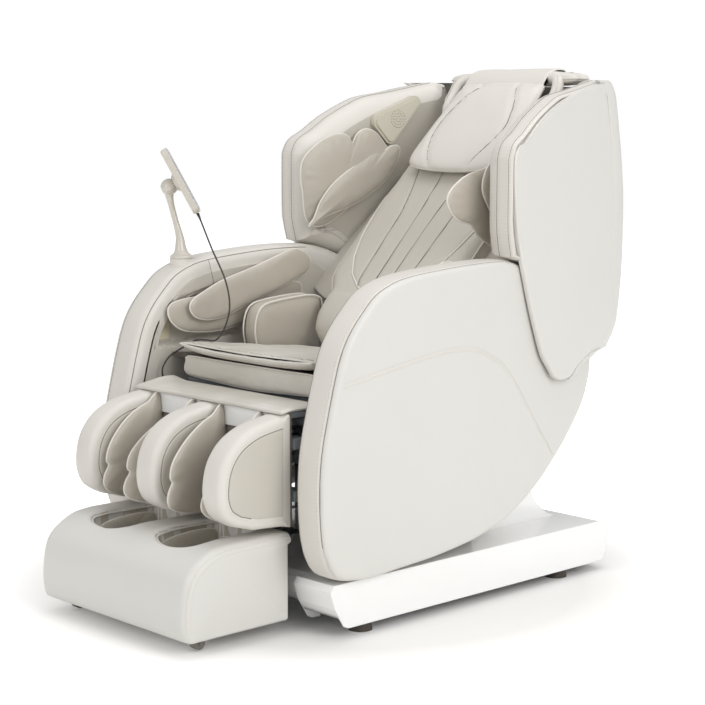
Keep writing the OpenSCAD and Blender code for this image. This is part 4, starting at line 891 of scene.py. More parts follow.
class CHAIR_OT_arm_rests(bpy.types.Operator):
    """Rolled arm bands with their inner walls"""

    bl_idname = "chair.arm_rests"
    bl_label = "Arm rests"

    def execute(self, context):
        outline = arm_outline()
        edge = inset(outline, 36, [tail_share(*p) for p in outline])
        wall = HALF_W - BAND_W

        def relief(y, z):
            deep = 30 * pocket(y, z, ARM_POCKET, 6)
            return deep * (1 - pocket(y, z, ARM_FOLD, 3)) - 8 * pocket(y, z, ARM_FOLD, 6)

        def arm_x(y, z):
            return panel_x(y)

        for side, mirror in SIDES:
            form = Form()
            swept_band(form, outline, BAND_PROFILE, arm_x, tail_share, 0)
            lo, hi = edge[:, 0].min(), edge[:, 0].max()
            places = [lo + s for s in edge_steps(hi - lo, 6, 8.0)]
            wall_sheet(form, edge, 0, places, lambda y, z: wall + 0.12 * max(0, y - 40) * -0.75, 34, 5.5, 1,
                       relief)
            seen = lambda y, z: y < 146 and z > 200
            # the seam lines are dark tubes that paint the shade in the sewn grooves
            for offset, depth in ((83.2, 7.2), (13.4, 3.6)):
                form.tube(in_order(band_line(outline, offset, depth, arm_x, tail_share, seen)), 1.0, 2, 6)
            for offset, depth in ((77.5, 3.4), (19.5, 0.3)):
                form.stitches(in_order(band_line(outline, offset, depth, arm_x, tail_share, seen)), 3, pitch(),
                              5.0, 0.62)
            # dark tube that paints the shade in the crease down the inner wall
            crease = [(wall - 8.2, -168 + 18 * t, 736 - 60 * t - 6 * t * t) for t in np.linspace(0, 1, 9)]
            form.tube(crease, 0.8, 2, 6)
            if mirror:
                # boss that carries the stand of the remote
                form.tube([(335, -205, 690), (335, -205, 737.6)], 27.5, 0, 40)
            form.make("arm_rest_band_" + side, [FINISH[k] for k in ("band", "wall", "seam", "thread")],
                      "seat_unit",
                      "arm_rest_" + side, mirror)
            plate = Form()
            rect = rounded([(-305, 560), (-296, 606), (-287, 612), (-262, 612), (-256, 606), (-258, 562),
                            (-264, 556), (-298, 556)], 3)
            plate.loft([[(x, p[0], p[1]) for p in rect] for x in (wall + 29.4, wall + 28.6)])
            plate.make("blank_plate_" + side, [FINISH["label"]], "seat_unit",
                       mirror=mirror)
        return {"FINISHED"}


PANEL_SEAM = [(-386, 528), (-310, 539), (-197, 558), (-79, 574), (-17, 576), (29, 571), (77, 553), (126, 527),
              (176, 479), (227, 422), (273, 367), (308, 328), (337, 294), (352, 279)]


class CHAIR_OT_side_panels(bpy.types.Operator):
    """Smooth outer panels with a sewn ornament seam"""

    bl_idname = "chair.side_panels"
    bl_label = "Side panels"

    def execute(self, context):
        outline = arm_outline()
        edge = inset(outline, 3.2, [tail_share(*p) for p in outline])
        clear = inset(outline, 11)
        lo, hi = edge[:, 0].min(), edge[:, 0].max()
        for side, mirror in SIDES:
            form = Form()
            rings = []
            for v in [lo + s for s in edge_steps(hi - lo, 12, 13.0)]:
                ends = span(edge, v, 0)
                if ends is None or ends[1] - ends[0] < 1:
                    continue
                steps = np.concatenate([[0, 0.4, 1.2, 2.6, 4.6, 7.5, 11],
                                        np.linspace(16, ends[1] - ends[0] - 16, 46),
                                        [ends[1] - ends[0] - s for s in (11, 7.5, 4.6, 2.6, 1.2, 0.4, 0)]])
                steps = np.clip(np.sort(steps), 0, ends[1] - ends[0])
                zs = ends[0] + steps
                drop = rim(gap_to([(v, z) for z in zs], edge), 10.5)
                front = [(panel_x(v) - d, v, z) for z, d in zip(zs, drop)]
                back = [(panel_x(v) - SKIN_T, v, z) for z in zs[::-1]]
                rings.append(front + back)
            form.loft(rings, 0)
            seam = [(panel_x(y) - 0.4, y, z) for y, z in spline(PANEL_SEAM, 8) if inside(y, z, clear)]
            form.tube(seam, 1.3, 1, 6)
            path = np.array(seam)
            normal = np.gradient(path, axis=0)
            normal = np.stack([np.zeros(len(path)), -normal[:, 2], normal[:, 1]], 1)
            normal /= np.linalg.norm(normal, axis=1)[:, None]
            for shift in (-5.0, 5.0):
                form.stitches(list(path + normal * shift + [0.5, 0, 0]), 2, pitch(), 5.0, 0.6)
            form.make("side_panel_skin_" + side, [FINISH[k] for k in ("outer", "piping", "thread")], "seat_unit",
                      "side_panel_" + side, mirror=mirror)
        return {"FINISHED"}


class CHAIR_OT_wing_shells(bpy.types.Operator):
    """Leather shells of the wings, from the leaf edge round to the rear"""

    bl_idname = "chair.wing_shells"
    bl_label = "Wing shells"

    def sunk(self, y, z):
        """How far the shell's lower rear edge has sunk to the panel below it."""
        gap = float(gap_to([(y, z)], [(424, 478), (484, 506), (560, 522), (640, 530)], False)[0])
        return (SKIN_T - 1) * (1 - smooth(gap / 62)) * smooth((y - 372) / 50)

    def ring(self, z, border):
        ys = min(rear(z) - CORNER_R, lookup(z, LEAF_END))
        yf = min(lookup(z, LEAF_LINE), ys - 10)
        turn = lookup(z, LEAF_TURN)
        xs = skin_x(ys, z)
        steps = [yf + s for s in (0, 0.3, 1.0, 2.2, 4.0, 6.5)] + list(np.linspace(yf + 9, ys, 34))
        steps = [min(s, ys) for s in steps]
        drop = rim(gap_to([(s, z) for s in steps], border, False), 6.5)
        sunk = [self.sunk(s, z) for s in steps]
        outer = [(skin_x(s, z) - min(d + k, SKIN_T - 0.4), s, z) for s, d, k in zip(steps, drop, sunk)]
        inner = [(skin_x(s, z) - SKIN_T, s, z) for s in steps]
        for k in range(1, 13):
            a = math.radians(turn * k / 12)
            for line, r in ((outer, CORNER_R - sunk[-1]), (inner, CORNER_R - SKIN_T)):
                line.append((xs - CORNER_R + r * math.cos(a), ys + r * math.sin(a), z))
        a = math.radians(turn)
        for line, r in ((outer, CORNER_R - sunk[-1]), (inner, CORNER_R - SKIN_T)):
            if turn < 90:
                line.append((xs - CORNER_R + r * math.cos(a) - 0.5, ys + r * math.sin(a) + 0.2, z))
            else:
                line.append((220.4, ys + r, z))
        return outer + inner[::-1]

    def execute(self, context):
        border = [(y, z) for z, y in LEAF_LINE][::-1] + [(374, 469.5), (402, 479), (440, 499), (484, 519),
                                                         (560, 535)]
        zs = [470, 470.4, 471.2, 472.6, 475, 478, 482, 487, 493, 500, 508, 516, 524, 532, 540, 548, 556, 568]
        zs += list(range(582, 990, 13)) + list(np.arange(990, 1147, 2.4)) + [1148]
        for side, mirror in SIDES:
            form = Form()
            form.loft([self.ring(z, border) for z in zs], 0)
            crest = [(skin_x(y, z) - 1.2, y + 5.0, z) for z, y in LEAF_LINE if 780 < z < 1146]
            form.stitches(crest, 1, pitch(), 5.0, 0.55)
            seam = [(skin_x(rear(z) - CORNER_R - 6, z) + 0.1, rear(z) - CORNER_R - 6 + 0.02 * (z - 900), z)
                    for z in np.linspace(1120, 700, 60)]
            form.tube(seam, 0.7, 2, 6)
            form.make("wing_shell_" + side, [FINISH[k] for k in ("outer", "thread", "piping")], "backrest",
                      "wing_skin_" + side, mirror=mirror)
        return {"FINISHED"}


WING_ROLL = 44
WING_PROFILE = [(86, 72), (90, 58), (90, 50)] + \
    [(90 - WING_ROLL + WING_ROLL * math.cos(math.radians(a)), WING_ROLL - WING_ROLL * math.sin(math.radians(a)))
     for a in range(0, 91, 10)] + \
    [(38, -0.6), (26, -0.3), (16, 0.2), (9, 1.6), (5.5, 4.0), (5.0, 6.5), (8, 8.0), (13.2, 8.6), (13.2, 30),
     (20, 60)]


def wing_wall_x(y, z):
    """Inner face of the wing."""
    return skin_x(y, z) - BAND_W


class CHAIR_OT_wing_liners(bpy.types.Operator):
    """Padded inner wings with their rolled front edge"""

    bl_idname = "chair.wing_liners"
    bl_label = "Wing liners"

    def execute(self, context):
        outline = wing_outline()
        edge = inset(outline, WING_ROLL - 4, [wing_share(*p) for p in outline])

        def seen(y, z):
            return z > 760 and y < 546 and (y < 330 or z > 1080)

        for side, mirror in SIDES:
            form = Form()
            swept_band(form, outline, WING_PROFILE, lambda y, z: min(skin_x(y, z), skin_inside(y, z) + 12.6),
                       wing_share, 0)
            lo, hi = edge[:, 1].min(), edge[:, 1].max()
            places = [lo + s for s in edge_steps(hi - lo, 5, 9.0)]
            wall_sheet(form, edge, 1, places, wing_wall_x, 24, 10, 1)
            # dark tubes that paint the shade in the sewn grooves of the rolled edge
            for offset, depth, r in ((47.0, 0.1, 0.9), (14.5, 0.6, 0.7)):
                form.tube(in_order(band_line(outline, offset, depth, skin_x, wing_share, seen)), r, 2, 6)
            for offset, depth in ((53.5, 0.2), (40.5, -0.6), (21, -0.1), (10.5, 1.3)):
                form.stitches(in_order(band_line(outline, offset, depth, skin_x, wing_share, seen)), 3, pitch(),
                              5.0, 0.62)
            form.make("wing_liner_pad_" + side, [FINISH[k] for k in ("band", "wall", "seam", "thread")],
                      "backrest", "wing_liner_" + side, mirror)
        return {"FINISHED"}


# ---- back ---------------------------------------------------------------------------

PAD_HALF = [(0, 122), (20, 146), (60, 160), (130, 166), (170, 196), (210, 206), (420, 206), (470, 198),
            (700, 192), (PAD_L, 176)]
PANEL_HALF = [(118, 0), (124, 34), (139, 66), (175, 111), (225, 143), (288, 165), (369, 182), (447, 189),
              (520, 186), (PAD_L, 160)]
CHANNELS = ([(128, 22), (373, 27), (520, 38), (PAD_L, 44)], [(134, 62), (160, 74), (373, 86), (450, 104),
                                                             (520, 128),
                                                            (PAD_L, 132)])


def pad_half(t):
    """Half the back pad's width up its length."""
    return lookup(t, PAD_HALF)


def groove(gap, width):
    """1 in the middle of a groove, falling to 0 beside it."""
    return math.exp(-(gap / width) ** 2)


def pad_height(x, t):
    """Face of the back pad above its backing: crowned, with a piped middle panel and channels."""
    w = pad_half(t)
    u = min(abs(x) / w, 1)
    e = t / PAD_L
    end = max(1 - abs(2 * e - 1) ** 14, 0) ** 0.5
    top = PAD_T - 1 - 9 * (1 - end)
    h = top * (0.25 + 0.75 * end) * max(1 - u ** 12, 0) ** 0.5
    if t > 118:
        edge = lookup(t, PANEL_HALF)
        h -= 4.0 * groove(abs(x) - edge, 4.5)
        h -= 2.6 * smooth((abs(x) - edge) / 5) * (1 if u < 0.97 else 0.3)
        if abs(x) < edge - 6:
            for line in CHANNELS:
                h -= 3.2 * groove(abs(x) - lookup(t, line), 3.4) * smooth((t - 120) / 20)
    else:
        h -= 3.0 * groove(t - 118, 4)
    return h + 0.9 * noise(Vector((x * 0.02, t * 0.02, 3.0)))


class CHAIR_OT_back_pad(bpy.types.Operator):
    """Back pad with diagonal channels, and its side linings"""

    bl_idname = "chair.back_pad"
    bl_label = "Back pad"

    def execute(self, context):
        form = Form()
        ts = sorted(set([0, 1.5, 4, 8, 14, 20] + list(range(26, 762, 6)) + [762, 768, 772, 774.5, 776]))
        us = [math.sin(math.radians(90 * i / 56)) for i in range(-56, 57)]
        rings = []
        for t in ts:
            w = pad_half(t)
            top = [at_back(u * w, t, -PAD_T + pad_height(u * w, t)) for u in us]
            low = [at_back(u * w, t, -PAD_T) for u in us[::-4]]
            rings.append(top + low)
        form.loft(rings, 0)
        ts2 = np.linspace(122, PAD_L - 14, 150)
        edge = [(-lookup(t, PANEL_HALF), t) for t in ts2[::-1]] + [(lookup(t, PANEL_HALF), t) for t in ts2]
        edge = spaced([np.array(p, float) for p in edge], 6)
        form.tube([at_back(x, t, -PAD_T + pad_height(x, t) + 1.2) for x, t in edge], pipe_r(), 1, 8)
        for s in (-1, 1):
            side = [(s * (pad_half(t) - 3.5), t) for t in np.linspace(70, 740, 120)]
            form.tube([at_back(x, t, -PAD_T + 0.55 * PAD_T) for x, t in side], 1.8, 1, 6)
            # the channels' dark tubes paint the shade in their sewn grooves
            for line in CHANNELS:
                row = [(s * lookup(t, line), t) for t in np.linspace(136, PAD_L - 20, 130)]
                form.tube([at_back(x, t, -PAD_T + pad_height(x, t) + 1.4) for x, t in row], 0.9, 2, 6)
        form.make("back_pad_cover", [FINISH[k] for k in ("wall", "piping", "seam")], "backrest", "back_pad")
        lining = Form()
        inner = [(160, 150), (160, 716)]
        wall = [(skin_x(WING_Y, 700) - BAND_W - 13, 165), (skin_x(WING_Y, 700) - BAND_W - 8, 230),
                (skin_x(558, 1130) - BAND_W - 4, 700)]
        corner = rounded([inner[0], wall[0], wall[1], mixed(np.array(wall[1]), np.array(wall[2]), 0.5), wall[2],
                          inner[1], (160, 430)], 4)
        for s in (1, -1):
            lining.puff([(s * p[0], p[1]) for p in corner], 9.0, lambda a, b,
                        c: at_back(a, b, -PAD_T - 3.2 + c * 0.8),
                        0.3)
        lining.make("back_lining_leather", [FINISH["wall"]], "backrest", "back_lining")
        return {"FINISHED"}


class CHAIR_OT_back_cover(bpy.types.Operator):
    """Rear panel between the wing shells"""

    bl_idname = "chair.back_cover"
    bl_label = "Back cover"

    def execute(self, context):
        form = Form()
        half = 219.6
        us = [0, 1.0, 2.6, 5] + list(np.linspace(12, 2 * half - 12, 40)) + [2 * half - 5, 2 * half - 2.6,
                                                                         2 * half - 1, 2 * half]
        rings = []
        for z in [482, 483, 485.5, 490] + list(range(500, 1120, 12)) + [1122, 1128, 1132, 1134.5, 1135.5]:
            d = min(z - 482, 1135.5 - z)
            front = []
            for u in us:
                x = u - half
                e = min(d, half - abs(x))
                h = -float(rim(e, 5)) - 1.6 * groove(abs(x) - 150, 3) - 1.6 * groove(z - 640, 3) * (abs(x) < 150)
                front.append((x, rear(z) + h, z))
            back = [(x, rear(z) - 10, z) for x in (half, half / 2, 0, -half / 2, -half)]
            rings.append(front + back)
        form.loft(rings, 0)
        # the seam lines and the cross seam below are dark tubes that paint the shade in their sewn grooves
        for s in (-1, 1):
            line = [(s * 150, rear(z) - 1.2, z) for z in np.linspace(500, 1120, 80)]
            form.tube(line, 0.8, 1, 5)
            form.stitches([(x + s * 5, y + 1.1, z) for x, y, z in line], 2, pitch(), 5.0, 0.6)
        cross = [(x, rear(640) - 1.2, 640) for x in np.linspace(-148, 148, 20)]
        form.tube(cross, 0.8, 1, 5)
        form.stitches([(x, y + 1.1, z + 5) for x, y, z in cross], 2, pitch(), 5.0, 0.6)
        for s in (-1, 1):
            for z, y0 in ((760, 420), (1048, 594)):
                x0, x1 = s * 195, s * 214
                y1 = rear(z) - 9
                box = [[(x0, y, z - 10), (x1, y, z - 10), (x1, y, z + 10), (x0, y, z + 10)] for y in (y0 + 4, y1)]
                form.loft(box, 3)
        form.make("back_cover_leather", [FINISH[k] for k in ("outer", "seam", "thread", "board")], "backrest",
                  "back_cover")
        return {"FINISHED"}


# ---- airbags, pillow and flap -------------------------------------------------------

def on_wall(x0, yaw=0.0, y0=0.0):
    """Places (y, z, out) on an upright plane at x0 that turns in by yaw degrees behind y0."""
    s, c = math.sin(math.radians(yaw)), math.cos(math.radians(yaw))
    return lambda a, b, h: (x0 - (a - y0) * s + h * c, y0 + (a - y0) * c + h * s, b)


def crumple(seed, size, depth):
    """Slow random dents for soft coated fabric, strongest near the seam."""
    def dent(q, s, h):
        v = Vector((q[0] / size, q[1] / size, seed))
        return math.copysign(1, h) * depth * noise(v) * (0.25 + 0.75 * s) * (1 - s ** 8)
    return dent


def seam_folds(middle, folds, reach, depth, seed):
    """Short folds that run in from the seam, as on a piece gathered to its piping."""
    def dent(q, s, h):
        a = math.atan2(q[1] - middle[1], q[0] - middle[0])
        wave = noise(Vector((math.cos(a) * folds, math.sin(a) * folds, seed)))
        edge = smooth((s - (1 - reach)) / reach) * (1 - s ** 10)
        return math.copysign(1, h) * (depth * wave * edge + 0.5 * noise(Vector((q[0] / 18, q[1] / 18, seed))))
    return dent


LEVELS = [0.08, 0.2, 0.32, 0.44, 0.55, 0.65, 0.74, 0.81, 0.87, 0.92, 0.955, 0.98, 0.994]


class CHAIR_OT_shoulder_airbags(bpy.types.Operator):
    """Two sewn shoulder airbags on each wing"""

    bl_idname = "chair.shoulder_airbags"
    bl_label = "Shoulder airbags"

    def execute(self, context):
        outer = spaced(rounded([
            (124, 884), (119, 918), (124, 958), (156, 991), (203, 1017), (236, 1022), (256, 1015), (269, 999),
            (282, 1021), (307, 1033), (338, 1024), (366, 994), (390, 966), (384, 932), (284, 862), (188, 802),
            (136, 814)], 8), 6, True)
        inner = spaced(rounded([
            (121, 801), (137, 822), (157, 861), (193, 900), (244, 934), (296, 963), (318, 975), (356, 980),
            (374, 990), (401, 990), (402, 968), (371, 919), (318, 880), (259, 851), (171, 824)], 8), 6, True)
        hanging = spaced(rounded([
            (196, 947), (152, 938), (120, 925), (88, 903), (79, 883), (93, 857), (121, 837), (159, 827),
            (189, 800), (238, 775), (300, 760), (330, 800), (336, 930), (270, 962)], 8), 6, True)
        petal = spaced(rounded([
            (262, 985), (230, 976), (196, 958), (175, 930), (172, 901), (195, 868), (225, 838), (265, 806),
            (296, 768), (318, 776), (352, 830), (360, 930), (330, 982)], 8), 6, True)
        x0 = skin_x(WING_Y, 900) - BAND_W
        for side, mirror in SIDES:
            form = Form()
            # the left pair hangs in from its wall and the right pair lies on it
            if mirror:
                pieces = ((outer, 17.3, 9.86, 34, (255, 915)), (inner, 42, 5.0, 24, (270, 900)))
            else:
                pieces = ((hanging, 52, 3.5, 26, (210, 870)), (petal, 24, 9.86, 24, (265, 880)))
            for outline, off, yaw, thick, middle in pieces:
                place = on_wall(x0 - off, yaw, WING_Y)
                form.puff(outline, thick, place, 0.5, LEVELS, 0,
                          seam_folds(middle, 9.0, 0.4, 3.4, thick + off))
                form.tube([place(p[0], p[1], 0) for p in outline], pipe_r(), 1, 8, True)
            form.make("shoulder_airbag_pair_" + side, [FINISH["airbag"], FINISH["piping"]], "backrest",
                      "shoulder_airbags_" + side, mirror)
        return {"FINISHED"}


class CHAIR_OT_arm_airbags(bpy.types.Operator):
    """Flat airbags that hang under each arm"""

    bl_idname = "chair.arm_airbags"
    bl_label = "Arm airbags"

    def execute(self, context):
        upper = spaced(rounded([(-246, 636), (-233, 652), (-208, 664), (-150, 688), (-60, 712), (20, 736),
                                (62, 748),
                                (92, 746), (122, 722), (112, 694), (40, 664), (-60, 632), (-140, 606), (-188, 600),
                                (-222, 606), (-240, 618)], 6), 6, True)
        lower = spaced(rounded([(-282, 640), (-284, 604), (-240, 576), (-146, 569), (-60, 582), (96, 614),
                                (116, 640),
                                (96, 668), (-50, 652), (-200, 652)], 6), 6, True)
        wall = HALF_W - BAND_W
        for side, mirror in SIDES:
            form = Form()
            seed = 1.0 if mirror else 5.0
            for outline, x, crown in ((lower, wall - 12.3, 0.5), (upper, wall - 36.6, 0.4)):
                place = on_wall(x)

                def dent(q, s, h, seed=seed, x=x):
                    front = smooth((-120 - q[0]) / 110)
                    fold = noise(Vector((q[0] / 22, q[1] / 40, seed + x)))
                    return math.copysign(1, h) * (0.8 * noise(Vector((q[0] / 45, q[1] / 30, seed)))
                                                  + (1.2 + 4.5 * front) * fold * s * (1 - s ** 8))

                form.puff(outline, 24, place, crown, LEVELS, 0, dent)
                form.tube([place(p[0], p[1], 0) for p in outline], pipe_r(), 1, 8, True)
            form.make("arm_airbag_pair_" + side, [FINISH["airbag"], FINISH["piping"]], "seat_unit",
                      "arm_airbags_" + side, mirror)
        return {"FINISHED"}


def seat_under(y):
    """Underside of the cushion over its length."""
    return mixed(SEAT_H - SEAT_T, SEAT_H - SEAT_T - 29, (y + 300) / 330)


class CHAIR_OT_hip_pads(bpy.types.Operator):
    """Box pads between the cushion and the arms"""

    bl_idname = "chair.hip_pads"
    bl_label = "Hip pads"

    def execute(self, context):
        line = lambda y: seat_under(y) - 0.3
        outline = spaced(rounded([(-112, 560), (-108, 604), (-88, 630), (-40, 640), (50, 646), (88, 640),
                                  (100, 620),
                                  (100, line(100) + 24), (80, line(80) + 2), (-20, line(-20) + 1),
                                  (-92, line(-92) + 4)], 6), 7, True)
        for side, mirror in SIDES:
            form = Form()
            place = on_wall(SEAT_HALF_W - 28)
            seed = 2.0 if mirror else 7.0
            form.puff(outline, 56, place, 0.24, LEVELS, 0, crumple(seed, 34, 1.8))
            for out in (-21, 21):
                trim = [np.array((-5, 580)) + 0.985 * (np.array(p) - np.array((-5, 580))) for p in outline]
                form.tube([place(p[0], p[1], out) for p in trim], pipe_r(), 1, 8, True)
            form.make("hip_pad_box_" + side, [FINISH["airbag"], FINISH["piping"]], "seat_unit", "hip_pad_" + side,
                      mirror)
        return {"FINISHED"}


class CHAIR_OT_pillow(bpy.types.Operator):
    """Headrest pillow with side seams, and the fold that joins it to the back"""

    bl_idname = "chair.pillow"
    bl_label = "Pillow"

    def execute(self, context):
        thick = sizes().pillow_thickness / MM
        w = 145.0
        outline = spaced(rounded([
            (-w, 34), (-w * 0.93, 12), (-w * 0.72, 0), (-w * 0.4, -6), (0, -8), (w * 0.4, -6), (w * 0.72, 0),
            (w * 0.93, 12), (w, 34), (w * 0.995, 90), (w * 0.97, 156), (w * 0.93, 230), (w * 0.9, 266),
            (w * 0.82, 279), (0, 284), (-w * 0.82, 279), (-w * 0.9, 266), (-w * 0.93, 230), (-w * 0.97, 156),
            (-w * 0.995, 90)], 6), 7, True)
        place = lambda a, b, c: at_back(a, 496 + b, thick / 2 - 0.7 + c)
        seam = spline([(46, -26), (88, 47), (109, 119), (95, 192), (60, 262)], 10)

        def dent(q, s, h):
            if h <= 0:
                return 0.6 * noise(Vector((q[0] / 30, q[1] / 30, 2)))
            side = lookup(q[1], [(p[1], p[0]) for p in seam])
            off = abs(q[0]) - side
            pulled = groove(off, 7)
            gather = noise(Vector((q[1] / 9, q[0] / 60, 4))) * groove(off, 20)
            return (-4.2 * pulled - 2.4 * abs(gather) - 1.8 * smooth((off - 4) / 30)
                    + 1.4 * noise(Vector((q[0] / 48, q[1] / 48, 8))) - 2.0 * groove(q[1] - 262, 8))

        form = Form()
        dense = [0.06, 0.13, 0.2, 0.27, 0.34, 0.41, 0.48, 0.55, 0.61, 0.67, 0.72, 0.77, 0.82, 0.86, 0.9,
                 0.935, 0.96,
                 0.98, 0.994]
        form.puff(outline, thick, place, 0.36, dense, 0, dent)
        form.tube([place(p[0], p[1], 0) for p in outline], 1.5, 1, 6, True)
        for s in (-1, 1):
            rows = []
            for x, b in seam:
                if 0 < b < 258:
                    q = np.array((s * x, b))
                    c = np.array((0.0, 142.0))
                    reach = min(1.0, float(np.max(np.abs((q - c) / np.array((w, 146.0))))))
                    h = thick / 2 * (1 - reach ** 3) ** 0.36 + dent(q, reach, 1)
                    rows.append(place(q[0], q[1], h + 0.3))
            # dark tube that paints the shade in the sewn side seam
            form.tube(rows, 1.1, 2, 6)
            form.stitches([(x, y - 0.8, z + 0.8) for x, y, z in rows], 3, pitch(), 5.0, 0.55)
        form.make("pillow_cushion", [FINISH[k] for k in ("band", "piping", "seam", "thread")], "headrest",
                  "pillow")

        def wave(x):
            return 1.5 * noise(Vector((x / 38, 1.7, 4.0)))

        fold = Form()
        path = spline([(524, 1126), (538, 1149), (556, 1166), (580, 1175), (606, 1175), (616, 1170)], 5)
        n = normals_2d(path)
        n[0], n[-1] = n[1], n[-2]
        rings = []
        for s in edge_steps(256, 6, 9.0):
            x = s - 128
            half = 3.4 - 2.6 * float(rim(min(s, 256 - s), 6)) / 6
            lift = [wave(x) * math.sin(math.pi * i / (len(path) - 1)) for i in range(len(path))]
            over = [(x, p[0] + m[0] * half, p[1] + m[1] * half + k) for p, m, k in zip(path, n, lift)]
            under = [(x, p[0] - m[0] * half, p[1] - m[1] * half + k) for p, m, k in zip(path, n, lift)]
            rings.append(over + under[::-1])
        fold.loft(rings, 0)
        hem = [(x, 603, 1178.2 + wave(x) * 0.4) for x in np.linspace(-120, 120, 40)]
        fold.stitches(hem, 1, pitch(), 5.0, 0.55)
        cloth = fold.make("pillow_fold", [FINISH["band"], FINISH["thread"]], "headrest")
        cloth.parent = None
        cloth.matrix_world = Matrix.Identity(4)
        del cloth["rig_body"]
        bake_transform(cloth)
        return {"FINISHED"}


class CHAIR_OT_head_flap(bpy.types.Operator):
    """Soft flap over the top of the back with its zip, and the roll round that top"""

    bl_idname = "chair.head_flap"
    bl_label = "Head flap"

    def execute(self, context):
        outline = spaced(rounded([(-186, -112), (-196, -78), (-180, -40), (0, -34), (180, -40), (196, -78),
                                  (186, -112), (0, -120)], 8), 8, True)
        place = lambda a, b, c: (a, BACK_REACH + b, BACK_H + 3 + c)
        form = Form()
        form.puff(outline, 38, place, 0.36, LEVELS, 0, crumple(6.0, 50, 2.4))
        form.tube([place(p[0] * 0.999, p[1], 0) for p in outline], pipe_r(), 1, 8, True)
        collar = [at_back(-150, 676, 0), at_back(-161, 716, 5), at_back(-165, 756, 8), (-160, 548, 1143),
                  (-138, 560, 1154), (-70, 566, 1159), (0, 568, 1160)]
        collar = spline(collar + [(-x, y, z) for x, y, z in collar[-2::-1]], 8)
        thick = [14.0 * min(1.0, 0.35 + min(i, len(collar) - 1 - i) / 12) for i in range(len(collar))]
        form.tube(collar, thick, 0, 20)
        form.tube([(x * 1.05, y - 9.0, z + 10.4) for x, y, z in collar[10:-10]], 0.9, 1, 6)
        zip_line = [place(x, -60 - 0.0004 * x * x, 15.0) for x in np.linspace(-165, 165, 40)]
        for k in (-2.2, 2.2):
            form.stitches([(x, y + k, z) for x, y, z in zip_line], 2, 4.0, 2.4, 0.9)
        form.make("head_flap_pad", [FINISH["band"], FINISH["piping"], FINISH["seam"]], "backrest", "head_flap")
        return {"FINISHED"}


# ---- seat ---------------------------------------------------------------------------

SEAT_LINE = spline([(-300, SEAT_H + 3), (-280, SEAT_H - 2), (-220, SEAT_H - 8), (-120, SEAT_H - 15),
                    (-40, SEAT_H - 22), (30, SEAT_H - 30)], 6)


SEAT_WAIST = [(-152, SEAT_HALF_W), (-138, SEAT_HALF_W - 32), (-124, SEAT_HALF_W - 58)]
SEAT_CHANNELS = ((62, 26), (142, 40))


def seat_half(y):
    """Half the cushion's width, which narrows between the hip pads."""
    return lookup(y, SEAT_WAIST) - 8 * abs(2 * ((y + 300) / 330) - 1) ** 4


def channel_x(base, bow, e):
    """Where a sewn channel runs at a share of the cushion's length."""
    return base + bow * math.cos(math.radians(90 * min(e * 1.2, 1)))


class CHAIR_OT_seat_cushion(bpy.types.Operator):
    """Seat cushion with curved sewn channels and a thin front edge"""

    bl_idname = "chair.seat_cushion"
    bl_label = "Seat cushion"

    def height(self, x, y, w):
        """Top of the cushion over its middle plane."""
        e = (y + 300) / 330
        end = max(1 - abs(2 * e - 1) ** 10, 0) ** 0.5
        u = min(abs(x) / w, 1)
        half = (lookup(y, SEAT_LINE) - seat_under(y)) / 2 * (0.2 + 0.8 * end)
        h = half * max(1 - u ** 9, 0) ** 0.5
        lift = 9 * u ** 3 * (1 - 2 * e) if e < 0.5 else 0
        for base, bow in SEAT_CHANNELS:
            h -= 3.6 * groove(abs(x) - channel_x(base, bow, e), 4.2) * end
        h -= 2.4 * groove(y + 286, 3.0) * (1 - u ** 6)
        h += 1.6 * noise(Vector((x / 46, y / 40, 3))) * end * (1 - u ** 6)
        h += 1.1 * noise(Vector((x / 14, y / 26, 11))) * groove(y + 292, 26) * (1 - u ** 6)
        return h, lift

    def execute(self, context):
        form = Form()
        ys = [-300, -299.2, -297.6, -295, -292, -289] + list(range(-286, 10, 5)) + [12, 18, 22, 26, 28, 29.4, 30]
        us = [math.sin(math.radians(90 * i / 48)) for i in range(-48, 49)]
        rings = []
        for y in ys:
            e = (y + 300) / 330
            w = seat_half(y)
            mid = (lookup(y, SEAT_LINE) + seat_under(y)) / 2
            up, low = [], []
            for u in us:
                h, lift = self.height(u * w, y, w)
                up.append((u * w, y, mid + h + lift))
            for u in us[::-4]:
                end = max(1 - abs(2 * e - 1) ** 8, 0) ** 0.5
                half = (lookup(y, SEAT_LINE) - seat_under(y)) / 2 * (0.2 + 0.8 * end)
                low.append((u * w, y, mid - half * max(1 - u ** 8, 0) ** 0.5 + (9 * abs(u) ** 3 * (1 - 2 * e)
                                                                              if e < 0.5 else 0)))
            rings.append(up + low[1:-1])
        form.loft(rings, 0)

        def on_top(x, y, lift_by=0.4):
            h, lift = self.height(x, y, seat_half(y))
            return (x, y, (lookup(y, SEAT_LINE) + seat_under(y)) / 2 + h + lift + lift_by)

        # the channel and front seam lines are dark tubes that paint the shade in their sewn grooves
        for s in (-1, 1):
            for base, bow in SEAT_CHANNELS:
                row = [on_top(s * channel_x(base, bow, (y + 300) / 330), y, 0.2) for y in np.linspace(-282,
                                                                                                      16, 60)]
                form.tube(row, 0.9, 1, 6)
                form.stitches([(x, y, z + 0.8) for x, y, z in row], 2, pitch(), 5.0, 0.55)
        front = [on_top(x, -286, 0.3) for x in np.linspace(-214, 214, 70)]
        form.tube(front, 0.9, 1, 6)
        form.stitches([(x, y + 4, z + 1.6) for x, y, z in front], 2, pitch(), 5.0, 0.55)
        edge = [(x, -299.4, (lookup(-300, SEAT_LINE) + seat_under(-300)) / 2 + 9 * min(abs(x) / 224, 1) ** 3)
                for x in np.linspace(-222, 222, 60)]
        form.tube(edge, 2.0, 3, 8)
        form.make("seat_cushion_cover", [FINISH[k] for k in ("seat", "seam", "thread", "piping")], "seat_unit",
                  "seat_cushion")
        return {"FINISHED"}


